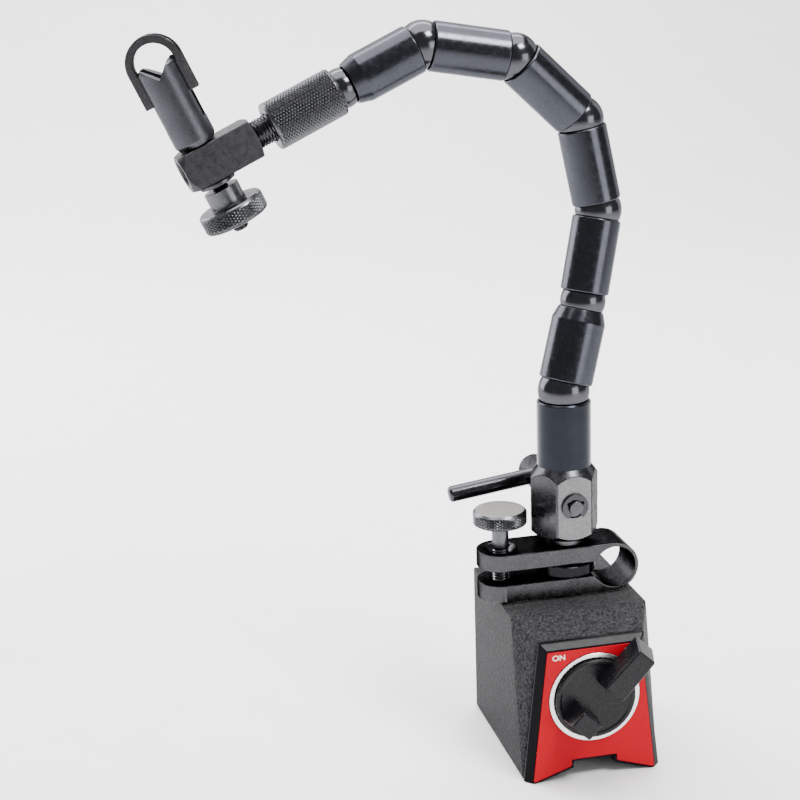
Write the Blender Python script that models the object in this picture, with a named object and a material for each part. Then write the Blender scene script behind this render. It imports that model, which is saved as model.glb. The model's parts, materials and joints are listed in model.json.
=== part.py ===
"""Magnetic base indicator holder: a switchable magnetic base, a fine-adjust spring clamp,
a post with a cam lever that pulls one tension cable, a chain of seven balls and tubes that
the cable locks, and a head that clamps an indicator by its stem.

All sizes below are millimetres; the meshes are scaled to metres as they are made.
The base stands on z = 0, its front faces -Y, and the arm leans towards -X.
"""
import math

import bmesh
import bpy
from mathutils import Matrix, Vector

MM = 0.001
SEGMENTS = 20           # round pieces
SMALL_SEGMENTS = 12     # thin or hidden round pieces
FIT = 0.3               # clearance between round pieces
REST = 0.2              # gap between flat faces that rest on each other
MERGE = 1e-4
OVERCUT = 1.0           # how far a cutter runs past the surface it opens
EDGE = 0.4              # the usual small chamfer
SHARP_ANGLE = math.radians(35)

# The base's centre, seen from the middle of the whole object's box, which is the origin.
BASE_CENTRE = Vector((58.28, 5.08, 0.0))

# Base
BASE_WIDTH = 50.0
BASE_LENGTH = 62.0
BASE_HEIGHT = 57.0
SLOPE_LENGTH = 12.3     # how far back the sloping front edge of the top starts
COVER_TOP_WIDTH = 38.5
COVER_TOP = 51.7
FOOT_WIDTH = 2.5
GROOVE_HALF = 7.44      # slot along the middle of the underside
GROOVE_EDGE = 4.26      # height at which the V meets the slot
GROOVE_TOP = 6.79
SPACER_HALF = 5.0
BORE_RADIUS = 15.6
SWITCH_HEIGHT = 30.7

# Front cover, label and switch
COVER_THICKNESS = 3.7
COVER_BEVEL = 2.3
LABEL_THICKNESS = 0.4
LABEL_INSET = 2.6
LABEL_MARGIN = 0.6      # what the label leaves bare along the feet and the groove
LABEL_FOOT = 1.0
RING_RADIUS = 16.4
RING_WIDTH = 1.6
KNOB_RADIUS = 14.5
KNOB_DISC = 2.4
LUG_DEPTH = 7.6
# Each lug's foot and face: where it starts and ends from the axis, and its half width at each
LONG_LUG = ((4.9, 25.7, 4.3, 3.6), (5.6, 23.1, 3.8, 2.7))
SHORT_LUG = ((5.2, 12.5, 4.9, 4.9), (6.0, 11.2, 3.8, 3.7))
LUG_TILT = -45          # of the long lug about the switch's axis; the short one is opposite
KNOB_SOCKET = 1.6
STOP_PIN = (11.0, 1.2, 1.6)     # distance from the axis, radius, half the width of its groove
STOP_ANGLE = 250.0
STOP_DEPTH = 1.2
SWITCH_THROW = 90.0
ROTOR_RADIUS = 15.2
ROTOR_END = 25.5
SHAFT_RADIUS = 3.0
BUSH_RADIUS = 5.0
REAR_PLUG = 5.0
REAR_WALL = 1.5
COVER_SCREW = (1.5, 2.8, 8.0)   # shank radius, head radius, depth
COVER_SCREW_AT = (19.5, 12.0)
SPACER_HOLE_BOTTOM = 47.6

# Fine-adjust clamp: two leaves joined by a round eye
CLAMP_WIDTH = 17.4
CLAMP_BOTTOM = 58.0
LEAF = 6.3
CLAMP_GAP = 5.2
CLAMP_TOP = CLAMP_BOTTOM + 2 * LEAF + CLAMP_GAP
EYE_X = 17.2
EYE_Z = (CLAMP_BOTTOM + CLAMP_TOP) / 2
EYE_OUTER = (CLAMP_TOP - CLAMP_BOTTOM) / 2
EYE_INNER = 7.5
SCREW_X = -23.0
SCREW_RADIUS = 3.0
SCREW_HEAD_RADIUS = 9.75
SCREW_HEAD_BOTTOM = 85.0
SCREW_TOP = 90.4
SCREW_SINK = 2.0        # how deep its tip sits in the lower leaf
WASHER_RADIUS = 7.0
BASE_SCREW_HEAD = 5.2
NUT_THICKNESS = 4.0
NUT_FLANGE = 10.8

# Post and cam lever
POST_X = 1.0
POST_TURN = 1.5         # degrees about the vertical
HEX_FLATS = 22.0
HEX_BOTTOM = 79.0
HEX_TOP = 105.0
HEX_CHAMFER = (10.3, 2.2, 4.2)  # inner radius, height of lower and upper chamfers
POST_BORE = 6.0
POST_FLOOR = 86.5
STUD_END = 85.0
CAM_Z = 92.2
CAM_RADIUS = 4.0
CAM_LOBE = 3.1
CAM_THROW = 0.8
PIN_RADIUS = 2.5        # of the cam shaft's grooved front end
PIN_END = 2.2           # how far it stands out of the hexagon
PIN_GROOVE = (1.9, 0.2, 1.2)    # radius, start and end of the groove, from the hexagon
CLIP = (2.15, 4.8, 60.0)        # inner and outer radius, and half the opening, in degrees
HUB_RADIUS = 5.8
HUB_END = 35.0
ROD_RADIUS = 3.0
ROD_REACH = 36.5
ROD_DROP = 6.7          # degrees below level
ROD_RAISE = 1.9
PULLER_TOP = 10.6       # above the cam's axis
PULLER_WINDOW = (4.4, 4.4, 5.4) # half width, then how far it opens below and above the cam's axis
CABLE_SOCKET = 3.0

# Arm: each link leans from the vertical towards +X, and out towards +Y, in degrees
FIRST_BALL_Z = 131.9
LINKS = (
    (15.5, 7.0, 32.05),
    (12.75, 6.95, 32.05),
    (-10.8, 2.8, 32.05),
    (-46.3, -1.0, 32.05),
    (-80.1, 2.9, 32.05),
    (-114.7, -1.8, 30.8),
)
END_DIRECTION = (-114.3, -5.0)
BALL_RADII = (9.15, 8.0, 8.2, 8.2, 8.2, 8.2, 6.9)
TUBE_RADII = (9.5, 8.5, 8.5, 8.5, 8.5, 8.5)
POST_RADIUS = 9.6
RIM = 3.0               # how far a tube's rim stops from the ball's centre
FIRST_RIM = 3.3
TAPERS = {0: (4.2, 8.0), 5: (4.6, 7.2)}     # length of the far taper and its rim radius
TUBE_BORE = 4.5
BALL_BORE = 1.8
BALL_MOUTH = 3.2
CABLE_RADIUS = 1.2
CABLE_PAST_CENTRE = 6.0
CABLE_SLACK = 1.5       # what the first stretch stops short by, because it moves with the cam

# Head, measured along the arm's last direction from the last ball
SLEEVE_RADIUS = 8.4
SLEEVE_START = 1.9
SLEEVE_END = 27.3
SLEEVE_BORE = 4.0
SLEEVE_THREAD = 16.5    # where the bore widens for the stud
FERRULE = (3.2, 10.5, 15.5)     # the cable end's radius, start and end
STUD_RADIUS = 4.9
STUD_START = 17.2
BLOCK_START = 33.3
BLOCK_END = 60.0
CROSS_AXIS = 51.1
BLOCK_SIDE = 12.6
BLOCK_SOCKET = 4.3
BLOCK_ENDS = ((6.6, 2.3), (6.4, 2.6))   # each end's face radius and the length of its turned chamfer
HEAD_ROLL = 3.0         # of the cross axis, about the arm's last direction
CLAMP_TURN = -18.0      # of the stem clamp, about the cross axis
SPIGOT_RADIUS = 4.5
SPIGOT_END = -8.2
SPRING_WASHER = (6.2, 1.3)      # radius and thickness
V_RADIUS = 7.15
V_BASE = 6.6
V_TOP = 35.6
V_DEPTH = 4.8
V_SLOT_BOTTOM = 14.3
PLATE_THICKNESS = 4.3
PLATE_BOTTOM = 23.4
EYE_HEIGHT = 35.6
PLATE_RADIUS = 9.2
STEM_EYE_RADIUS = 6.9
SHANK_RADIUS = 2.6
SHANK_END = -24.7
NUT_TOP = -9.4
NUT_SHOULDER = -15.2
NUT_BOTTOM = -21.7
NUT_COLLAR = 6.1
NUT_RADIUS = 11.4

MATERIALS = {
    "wrinkle_paint": ((0.045, 0.047, 0.05), 0.62, 0.0),
    "black_steel": ((0.035, 0.037, 0.042), 0.3, 0.9),
    "ball_steel": ((0.03, 0.031, 0.035), 0.16, 0.95),
    "satin_black_steel": ((0.05, 0.052, 0.056), 0.48, 0.85),
    "brass": ((0.72, 0.52, 0.22), 0.35, 1.0),
    "bright_steel": ((0.62, 0.62, 0.63), 0.28, 1.0),
    "magnet": ((0.18, 0.17, 0.17), 0.5, 0.8),
    "cover_metal": ((0.02, 0.02, 0.022), 0.35, 0.2),
    "red_label": ((0.75, 0.02, 0.025), 0.3, 0.0),
    "silver_ring": ((0.8, 0.8, 0.8), 0.3, 0.9),
    "black_plastic": ((0.018, 0.018, 0.02), 0.42, 0.0),
}


def clear_scene():
    for old in list(bpy.data.objects):
        bpy.data.objects.remove(old, do_unlink=True)


def make_material(name):
    colour, roughness, metallic = MATERIALS[name]
    made = bpy.data.materials.new(name)
    made.use_nodes = True
    shader = made.node_tree.nodes["Principled BSDF"]
    shader.inputs["Base Color"].default_value = (*colour, 1.0)
    shader.inputs["Roughness"].default_value = roughness
    shader.inputs["Metallic"].default_value = metallic
    return made


def place(location=(0.0, 0.0, 0.0), rotation=None):
    """A matrix that moves by millimetres, after an optional rotation."""
    matrix = Matrix.Translation(Vector(location) * MM)
    return matrix @ rotation.to_4x4() if rotation else matrix


def turn(axis, degrees):
    return Matrix.Rotation(math.radians(degrees), 4, axis)


def add(name, bm, parent, matrix, look=None):
    """Make an object from a bmesh in millimetres. One with no look is a cutter or a guide."""
    bmesh.ops.remove_doubles(bm, verts=bm.verts, dist=MERGE)
    bmesh.ops.dissolve_degenerate(bm, edges=bm.edges, dist=MERGE)
    bmesh.ops.recalc_face_normals(bm, faces=bm.faces)
    bmesh.ops.scale(bm, vec=(MM, MM, MM), verts=bm.verts)
    mesh = bpy.data.meshes.new(name)
    bm.to_mesh(mesh)
    bm.free()
    mesh.shade_smooth()
    mesh.set_sharp_from_angle(angle=SHARP_ANGLE)
    made = bpy.data.objects.new(name, mesh)
    bpy.context.collection.objects.link(made)
    made.parent = parent
    made.matrix_basis = matrix
    if look:
        # each object has its own copy of its finish
        mesh.materials.append(make_material(look))
    else:
        made.hide_render = True
        made.display_type = "WIRE"
    return made


def add_empty(name, parent, matrix):
    made = bpy.data.objects.new(name, None)
    bpy.context.collection.objects.link(made)
    made.parent = parent
    made.matrix_basis = matrix
    return made


def combine(target, bm, matrix=None, operation="DIFFERENCE"):
    """Cut, join or intersect an object with a shape placed beside it."""
    name = f"{target.name}_{operation.lower()}_{len(target.modifiers)}"
    tool = add(name, bm, target.parent, matrix if matrix else target.matrix_basis)
    modifier = target.modifiers.new(operation.title(), "BOOLEAN")
    modifier.operation = operation
    modifier.solver = "EXACT"
    modifier.object = tool


def turned(profile, closed=False, segments=SEGMENTS):
    """Spin a profile of (radius, height) points about Z. An open one starts and ends on the axis."""
    bm = bmesh.new()
    points = [bm.verts.new((radius, 0.0, height)) for radius, height in profile]
    pairs = list(zip(points, points[1:]))
    if closed:
        pairs.append((points[-1], points[0]))
    edges = [bm.edges.new(pair) for pair in pairs]
    bmesh.ops.spin(bm, geom=points + edges, cent=(0, 0, 0), axis=(0, 0, 1), dvec=(0, 0, 0),
                   angle=math.tau, steps=segments, use_merge=True, use_duplicate=False)
    return bm


def rod(radius, low, high, segments=SEGMENTS, bevel=0.0):
    return turned([(0, low), (radius - bevel, low), (radius, low + bevel), (radius, high - bevel),
                   (radius - bevel, high), (0, high)], segments=segments)


def ring(inner, outer, low, high, segments=SEGMENTS):
    return turned([(inner, low), (outer, low), (outer, high), (inner, high)], True, segments)


def prism(outline, low, high, upright=False):
    """Extrude an outline. It lies in XY and rises along Z, or stands in XZ and runs along Y."""
    bm = bmesh.new()
    points = [(a, low, b) if upright else (a, b, low) for a, b in outline]
    face = bm.faces.new([bm.verts.new(point) for point in points])
    grown = bmesh.ops.extrude_face_region(bm, geom=[face])
    step = (0, high - low, 0) if upright else (0, 0, high - low)
    bmesh.ops.translate(bm, vec=step, verts=[v for v in grown["geom"] if isinstance(v, bmesh.types.BMVert)])
    return bm


def slab(low, high):
    """A box from its lowest corner to its highest."""
    outline = [(low[0], low[1]), (high[0], low[1]), (high[0], high[1]), (low[0], high[1])]
    return prism(outline, low[2], high[2])


def slice_off(bm, point, normal):
    """Remove what lies beyond a plane, and close the cut."""
    cut = bmesh.ops.bisect_plane(bm, geom=bm.verts[:] + bm.edges[:] + bm.faces[:], dist=MERGE,
                                 plane_co=point, plane_no=normal, clear_outer=True)
    edges = [e for e in cut["geom_cut"] if isinstance(e, bmesh.types.BMEdge)]
    bmesh.ops.contextual_create(bm, geom=edges)


def skin(bm, loops):
    """Close a tube of matching loops of vertices, with a face at each end."""
    bm.faces.new(loops[0])
    bm.faces.new(loops[-1])
    for low, high in zip(loops, loops[1:]):
        for index in range(len(low)):
            following = (index + 1) % len(low)
            bm.faces.new([low[index], low[following], high[following], high[index]])


def arc(centre, radius, start, end, steps):
    """Points on a circle from one angle to another, both in degrees."""
    points = []
    for step in range(steps + 1):
        angle = math.radians(start + (end - start) * step / steps)
        points.append((centre[0] + radius * math.cos(angle), centre[1] + radius * math.sin(angle)))
    return points


def direction(lean, out):
    """A unit direction that leans from the vertical towards +X, and out towards +Y."""
    lean, out = math.radians(lean), math.radians(out)
    return Vector((math.sin(lean) * math.cos(out), math.sin(out), math.cos(lean) * math.cos(out)))


def mirrored(outline):
    return [(-x, z) for x, z in outline]


# ---------------------------------------------------------------- base

FRONT = -BASE_LENGTH / 2
COVER_BACK = FRONT - FIT
COVER_FRONT = COVER_BACK - COVER_THICKNESS
KNOB_BACK = COVER_FRONT - FIT
KNOB_FACE = KNOB_BACK - KNOB_DISC
HALF = BASE_WIDTH / 2


def switch_axis(y=0.0):
    """Z along the switch's axis, pointing back, from a given depth."""
    return place((0, y, SWITCH_HEIGHT), turn("X", -90))


def cover_screw_place(side, y):
    return place((side * COVER_SCREW_AT[0], y, COVER_SCREW_AT[1]), turn("X", -90))


def slope_cuts(bm):
    """Cut the sloping front edge of the top and the two side chamfers that taper to the feet."""
    top = Vector((HALF, FRONT + SLOPE_LENGTH, BASE_HEIGHT))
    foot = Vector((HALF, FRONT, 0))
    corner = Vector((COVER_TOP_WIDTH / 2, FRONT, COVER_TOP))
    slice_off(bm, top, Vector((0, COVER_TOP - BASE_HEIGHT, SLOPE_LENGTH)))
    side = (top - foot).cross(corner - foot)
    side *= math.copysign(1, side.x)
    slice_off(bm, foot, side)
    slice_off(bm, Vector((-HALF, FRONT, 0)), Vector((-side.x, side.y, side.z)))


def make_poles(base):
    inner = SPACER_HALF + REST
    outline = [(inner, GROOVE_TOP), (GROOVE_HALF, GROOVE_TOP), (GROOVE_HALF, GROOVE_EDGE),
               (HALF - FOOT_WIDTH, 0), (HALF, 0), (HALF, BASE_HEIGHT), (inner, BASE_HEIGHT)]
    for name, side in (("base_pole_right", 1), ("base_pole_left", -1)):
        bm = prism(outline if side > 0 else mirrored(outline), FRONT, -FRONT, upright=True)
        slope_cuts(bm)
        pole = add(name, bm, base, place(), "wrinkle_paint")
        combine(pole, rod(BORE_RADIUS, -OVERCUT, BASE_LENGTH + OVERCUT), switch_axis(FRONT))
        screw_hole = rod(COVER_SCREW[0] + FIT, -OVERCUT, COVER_SCREW[2], SMALL_SEGMENTS)
        combine(pole, screw_hole, cover_screw_place(side, FRONT))


def make_spacers(base):
    bore_top = SWITCH_HEIGHT + BORE_RADIUS
    bore_bottom = SWITCH_HEIGHT - BORE_RADIUS
    bm = slab((-SPACER_HALF, FRONT, bore_top), (SPACER_HALF, -FRONT, BASE_HEIGHT))
    slope_cuts(bm)
    top = add("spacer_top", bm, base, place(), "brass")
    hole = rod(SCREW_RADIUS + FIT, SPACER_HOLE_BOTTOM, BASE_HEIGHT + OVERCUT, SMALL_SEGMENTS)
    combine(top, hole, place((POST_X, 0, 0)))
    bottom = slab((-SPACER_HALF, FRONT, GROOVE_TOP), (SPACER_HALF, -FRONT, bore_bottom))
    add("spacer_bottom", bottom, base, place(), "brass")


def make_rear_cover(base):
    """A plug in the back of the bore, with a blind hole for the rotor's shaft."""
    radius = BORE_RADIUS - FIT
    floor = REAR_PLUG - REAR_WALL
    profile = [(0, floor), (SHAFT_RADIUS + FIT, floor), (SHAFT_RADIUS + FIT, 0), (radius, 0),
               (radius, REAR_PLUG), (0, REAR_PLUG)]
    add("rear_cover", turned(profile), base, switch_axis(-FRONT - REAR_PLUG), "wrinkle_paint")


def cover_outline(top, side_inset, foot_inset, foot_width):
    """The trapezoid with the base's groove in its foot, drawn in by an inset on each side."""
    slant = (BASE_WIDTH - COVER_TOP_WIDTH) / 2 / COVER_TOP
    edge = HALF - side_inset
    right = [(GROOVE_HALF + foot_inset, GROOVE_TOP + foot_inset),
             (GROOVE_HALF + foot_inset, GROOVE_EDGE + foot_inset),
             (edge - foot_width, foot_inset),
             (edge - slant * foot_inset, foot_inset),
             (edge - slant * top, top)]
    return right + mirrored(right)[::-1]


def make_cover(base):
    bm = prism(cover_outline(COVER_TOP, 0, 0, FOOT_WIDTH), COVER_FRONT, COVER_BACK, upright=True)
    shoulder = COVER_FRONT + COVER_BEVEL
    lean = (BASE_WIDTH - COVER_TOP_WIDTH) / 2 / COVER_TOP
    for side in (1, -1):
        slice_off(bm, Vector((side * HALF, shoulder, 0)), Vector((side, -1, lean)))
    slice_off(bm, Vector((0, shoulder, COVER_TOP)), Vector((0, -1, 1)))
    cover = add("front_cover", bm, base, place(), "cover_metal")
    through = COVER_THICKNESS + OVERCUT
    combine(cover, rod(BUSH_RADIUS + REST, -OVERCUT, through), switch_axis(COVER_FRONT))
    pin_hole = rod(STOP_PIN[1] + REST, -OVERCUT, through, SMALL_SEGMENTS)
    combine(cover, pin_hole, stop_place())
    shank, head, depth = COVER_SCREW
    for side, name in ((1, "cover_screw_right"), (-1, "cover_screw_left")):
        hole = turned([(0, -OVERCUT), (head + OVERCUT + FIT, -OVERCUT), (shank + FIT, head - shank),
                       (shank + FIT, through), (0, through)], segments=SMALL_SEGMENTS)
        combine(cover, hole, cover_screw_place(side, COVER_FRONT))
        screw = turned([(0, REST), (head - REST, REST), (shank, head - shank), (shank, depth), (0, depth)],
                       segments=SMALL_SEGMENTS)
        add(name, screw, base, cover_screw_place(side, COVER_FRONT), "bright_steel")
    bush = ring(SHAFT_RADIUS + FIT / 2, BUSH_RADIUS, 0, COVER_THICKNESS)
    add("shaft_bush", bush, base, switch_axis(COVER_FRONT), "brass")


def make_label(base):
    back = COVER_FRONT - REST
    outline = cover_outline(COVER_TOP - LABEL_INSET, LABEL_INSET, LABEL_MARGIN, LABEL_FOOT)
    plate = prism(outline, back - LABEL_THICKNESS, back, upright=True)
    label = add("face_label", plate, base, place(), "red_label")
    hole = rod(RING_RADIUS + REST, -LABEL_THICKNESS - OVERCUT, OVERCUT)
    combine(label, hole, switch_axis(back))
    band = ring(RING_RADIUS - RING_WIDTH, RING_RADIUS, -2 * LABEL_THICKNESS, 0)
    add("dial_ring", band, base, switch_axis(back), "silver_ring")


# ---------------------------------------------------------------- switch

def stop_place():
    """Z along the stop pin, which stands out of the cover into the knob's groove."""
    angle = math.radians(STOP_ANGLE)
    x = STOP_PIN[0] * math.cos(angle)
    z = SWITCH_HEIGHT + STOP_PIN[0] * math.sin(angle)
    return place((x, COVER_FRONT, z), turn("X", -90))


def make_stop_pin(base):
    pin = rod(STOP_PIN[1], -FIT - STOP_DEPTH + REST, COVER_THICKNESS - REST, SMALL_SEGMENTS)
    add("stop_pin", pin, base, stop_place(), "bright_steel")


def make_lug(foot, face):
    """A lug that narrows from its foot on the disc to its face. It runs out along +X."""
    bm = bmesh.new()
    loops = []
    for (start, end, half_start, half_end), y in ((foot, EDGE), (face, -LUG_DEPTH)):
        corners = ((start, -half_start), (end, -half_end), (end, half_end), (start, half_start))
        loops.append([bm.verts.new((x, y, z)) for x, z in corners])
    skin(bm, loops)
    return bm


def make_switch(switch):
    """Everything that turns with the knob: the knob, its shaft and the magnet."""
    disc = turned([(0, 0), (KNOB_RADIUS, 0), (KNOB_RADIUS, -KNOB_DISC + EDGE),
                   (KNOB_RADIUS - EDGE, -KNOB_DISC), (0, -KNOB_DISC)])
    back = place((0, KNOB_BACK, 0), turn("X", -90))
    knob = add("switch_knob", disc, switch, back, "black_plastic")
    for (foot, face), tilt in ((LONG_LUG, LUG_TILT), (SHORT_LUG, LUG_TILT + 180)):
        combine(knob, make_lug(foot, face), place((0, KNOB_FACE, 0), turn("Y", tilt)), "UNION")
    combine(knob, rod(SHAFT_RADIUS + FIT, -KNOB_SOCKET, OVERCUT, SMALL_SEGMENTS), back)
    radius, _, half = STOP_PIN
    slack = math.degrees(half / radius)
    first, last = STOP_ANGLE - SWITCH_THROW - slack, STOP_ANGLE + slack
    outer = arc((0, 0), radius + half, first, last, SMALL_SEGMENTS)
    inner = arc((0, 0), radius - half, last, first, SMALL_SEGMENTS)
    groove = prism(outer + inner, -STOP_DEPTH, OVERCUT, upright=True)
    combine(knob, groove, place((0, KNOB_BACK, 0)))
    start = KNOB_BACK - KNOB_SOCKET + FIT
    shaft_length = -FRONT - REAR_WALL - FIT - start
    shaft_place = place((0, start, 0), turn("X", -90))
    add("rotor_shaft", rod(SHAFT_RADIUS, 0, shaft_length), switch, shaft_place, "bright_steel")
    magnet = ring(SHAFT_RADIUS + FIT, ROTOR_RADIUS, 0, ROTOR_END - FRONT - FIT)
    add("magnet_rotor", magnet, switch, place((0, FRONT + FIT, 0), turn("X", -90)), "magnet")


# ---------------------------------------------------------------- fine-adjust clamp

def leaf_outline(lower):
    """Half of the clamp in the XZ plane: a straight leaf, then half of the eye."""
    sign = -1 if lower else 1
    left = SCREW_X - CLAMP_WIDTH
    gap = CLAMP_GAP / 2
    # the eye opens into the gap along two lines at 45 degrees
    tangent = EYE_INNER * math.sqrt(0.5)
    junction = EYE_X - 2 * tangent + gap
    split = math.degrees(FIT / 2 / EYE_OUTER)
    outer = arc((EYE_X, EYE_Z), EYE_OUTER, 90 * sign, split * sign, 10)
    inner = arc((EYE_X, EYE_Z), EYE_INNER, split * sign, 135 * sign, 14)
    return ([(left, EYE_Z + sign * EYE_OUTER)] + outer + inner
            + [(junction, EYE_Z + sign * gap), (left, EYE_Z + sign * gap)])


def make_leaf(name, lower, parent, hinge):
    """A leaf with a round end around the thumbscrew."""
    half = CLAMP_WIDTH / 2
    bm = prism(leaf_outline(lower), -half - OVERCUT, half + OVERCUT, upright=True)
    leaf = add(name, bm, parent, hinge, "satin_black_steel")
    right = EYE_X + EYE_OUTER + OVERCUT
    plan = arc((SCREW_X, 0), half, 90, 270, SEGMENTS // 2) + [(right, -half), (right, half)]
    envelope = prism(plan, CLAMP_BOTTOM - OVERCUT, CLAMP_TOP + OVERCUT)
    combine(leaf, envelope, operation="INTERSECT")
    return leaf


def make_clamp(base, upper):
    washer = ring(SCREW_RADIUS + FIT, WASHER_RADIUS, BASE_HEIGHT + REST, CLAMP_BOTTOM - REST)
    add("clamp_washer", washer, base, place((POST_X, 0, 0)), "bright_steel")
    lower_leaf = make_leaf("clamp_lower_leaf", True, base, place())
    top = CLAMP_BOTTOM + LEAF
    head, shank = BASE_SCREW_HEAD, SCREW_RADIUS
    hole = turned([(0, CLAMP_BOTTOM - OVERCUT), (shank + FIT, CLAMP_BOTTOM - OVERCUT),
                   (shank + FIT, top - head + shank), (head + OVERCUT + FIT, top + OVERCUT),
                   (0, top + OVERCUT)])
    combine(lower_leaf, hole, place((POST_X, 0, 0)))
    screw = turned([(0, SPACER_HOLE_BOTTOM + REST), (shank, SPACER_HOLE_BOTTOM + REST),
                    (shank, top - head + shank), (head, top), (0, top)])
    add("clamp_base_screw", screw, base, place((POST_X, 0, -REST)), "black_steel")
    dimple = rod(SCREW_RADIUS + FIT, top - SCREW_SINK, top + OVERCUT, SMALL_SEGMENTS)
    combine(lower_leaf, dimple, place((SCREW_X, 0, 0)))

    back = place((-EYE_X, 0, -EYE_Z))
    upper_leaf = make_leaf("clamp_upper_leaf", False, upper, back)
    low, high = CLAMP_TOP - LEAF - OVERCUT, CLAMP_TOP + OVERCUT
    bore = SCREW_RADIUS + EDGE
    sink = 2.4
    countersink = turned([(0, low), (bore, low), (bore, high - sink), (bore + sink, high), (0, high)])
    combine(upper_leaf, countersink, back @ place((SCREW_X, 0, 0)))
    combine(upper_leaf, rod(SCREW_RADIUS + FIT, low, high), back @ place((POST_X, 0, 0)))


def make_thumbscrew(parent):
    """Its tip sits in a dimple of the lower leaf, so the upper leaf climbs it as it turns."""
    tip = CLAMP_BOTTOM + LEAF - SCREW_SINK + REST
    chamfer = 1.0
    profile = [(0, tip), (SCREW_RADIUS - EDGE, tip), (SCREW_RADIUS, tip + EDGE),
               (SCREW_RADIUS, SCREW_HEAD_BOTTOM), (SCREW_HEAD_RADIUS - EDGE, SCREW_HEAD_BOTTOM),
               (SCREW_HEAD_RADIUS, SCREW_HEAD_BOTTOM + EDGE), (SCREW_HEAD_RADIUS, SCREW_TOP - chamfer),
               (SCREW_HEAD_RADIUS - chamfer, SCREW_TOP), (0, SCREW_TOP)]
    add("thumbscrew", turned(profile), parent, place(), "satin_black_steel")


# ---------------------------------------------------------------- post and cam lever

def cup(radius, rim, bore, sign):
    """A tube's spherical seat, from its rim to its bore. Heights are from the ball's centre."""
    seat = radius + FIT
    first, last = math.asin(rim / seat), math.acos(bore / seat)
    points = []
    steps = 3
    for step in range(steps + 1):
        angle = first + (last - first) * step / steps
        points.append((seat * math.cos(angle), sign * seat * math.sin(angle)))
    return points


def make_post(post):
    """Heights here are from the base's foot. The post's empty stands on its axis at z = 0."""
    chamfer_radius, low, high = HEX_CHAMFER
    corner = HEX_FLATS / math.sqrt(3)
    rim = FIRST_BALL_Z - FIRST_RIM
    seat = [(r, FIRST_BALL_Z + z) for r, z in cup(BALL_RADII[0], FIRST_RIM, POST_BORE, -1)]
    stud = SCREW_RADIUS + FIT
    profile = [(0, STUD_END), (stud, STUD_END), (stud, HEX_BOTTOM), (chamfer_radius, HEX_BOTTOM),
               (corner + FIT, HEX_BOTTOM + low), (corner + FIT, HEX_TOP - high), (POST_RADIUS, HEX_TOP),
               (POST_RADIUS, rim - EDGE), (POST_RADIUS - EDGE, rim)]
    profile += seat + [(POST_BORE, POST_FLOOR), (0, POST_FLOOR)]
    body = add("post_body", turned(profile), post, place(), "black_steel")
    hexagon = arc((0, 0), corner, 0, 300, 5)
    envelope = prism(hexagon, HEX_BOTTOM - OVERCUT, FIRST_BALL_Z + OVERCUT)
    combine(body, envelope, operation="INTERSECT")
    combine(body, rod(CAM_RADIUS + FIT, -HEX_FLATS, HEX_FLATS), cam_axis())
    collar = ring(stud, WASHER_RADIUS, CLAMP_TOP + REST, HEX_BOTTOM - REST)
    add("post_collar", collar, post, place(), "black_steel")
    nut_top = CLAMP_TOP - LEAF - REST
    nut_bottom = nut_top - NUT_THICKNESS
    nut = turned([(0, nut_bottom), (NUT_FLANGE - EDGE, nut_bottom), (NUT_FLANGE, nut_bottom + EDGE),
                  (NUT_FLANGE, nut_top), (SCREW_RADIUS, nut_top), (SCREW_RADIUS, STUD_END - FIT),
                  (0, STUD_END - FIT)])
    add("post_stud", nut, post, place(), "black_steel")


def cam_axis():
    """Z along the cam shaft, pointing back."""
    return place((0, 0, CAM_Z), turn("X", -90))


def rings(sections, segments=16):
    """Skin circles along Z. Each is (height, radius, sideways offset)."""
    bm = bmesh.new()
    loops = []
    for height, radius, offset in sections:
        circle = arc((0, offset), radius, 0, 360, segments)[:-1]
        loops.append([bm.verts.new((x, y, height)) for x, y in circle])
    skin(bm, loops)
    return bm


def make_lever(lever):
    """The lever's empty is on the cam axis, with Z pointing back along it."""
    flat = HEX_FLATS / 2
    neck, neck_start, neck_end = PIN_GROOVE
    lobe = POST_BORE - FIT
    hub_start = flat + FIT
    sections = [(-flat - PIN_END, PIN_RADIUS - EDGE, 0), (-flat - PIN_END + EDGE, PIN_RADIUS, 0),
                (-flat - neck_end, PIN_RADIUS, 0), (-flat - neck_end, neck, 0), (-flat - neck_start, neck, 0),
                (-flat - neck_start, PIN_RADIUS, 0), (-flat + EDGE, PIN_RADIUS, 0),
                (-flat + EDGE, CAM_RADIUS, 0), (-lobe, CAM_RADIUS, 0), (-lobe, CAM_LOBE, CAM_THROW),
                (lobe, CAM_LOBE, CAM_THROW), (lobe, CAM_RADIUS, 0), (hub_start, CAM_RADIUS, 0),
                (hub_start, HUB_RADIUS - EDGE, 0),
                (hub_start + EDGE, HUB_RADIUS, 0), (HUB_END - EDGE, HUB_RADIUS, 0),
                (HUB_END, HUB_RADIUS - EDGE, 0)]
    shaft = add("cam_shaft", rings(sections), lever, place(), "black_steel")
    # the rod's own Z runs out along it
    lay = place((0, -ROD_RAISE, (flat + HUB_END) / 2)) @ turn("Z", -ROD_DROP) @ turn("Y", -90)
    overlap = 2.0
    combine(shaft, rod(ROD_RADIUS + FIT, -overlap, HUB_RADIUS + overlap, SMALL_SEGMENTS), lay)
    add("lever_rod", rod(ROD_RADIUS, FIT - overlap, ROD_REACH, bevel=EDGE), lever, lay, "black_steel")
    inner, outer, half_opening = CLIP
    first, last = 90 - 360 + half_opening / 2, 90 - half_opening / 2
    clip = arc((0, 0), outer, first, last, SEGMENTS) + arc((0, 0), inner, last, first, SEGMENTS)
    bm = prism(clip, -flat - neck_end + REST, -flat - neck_start - REST)
    add("retaining_ring", bm, lever, place(), "black_steel")


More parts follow.
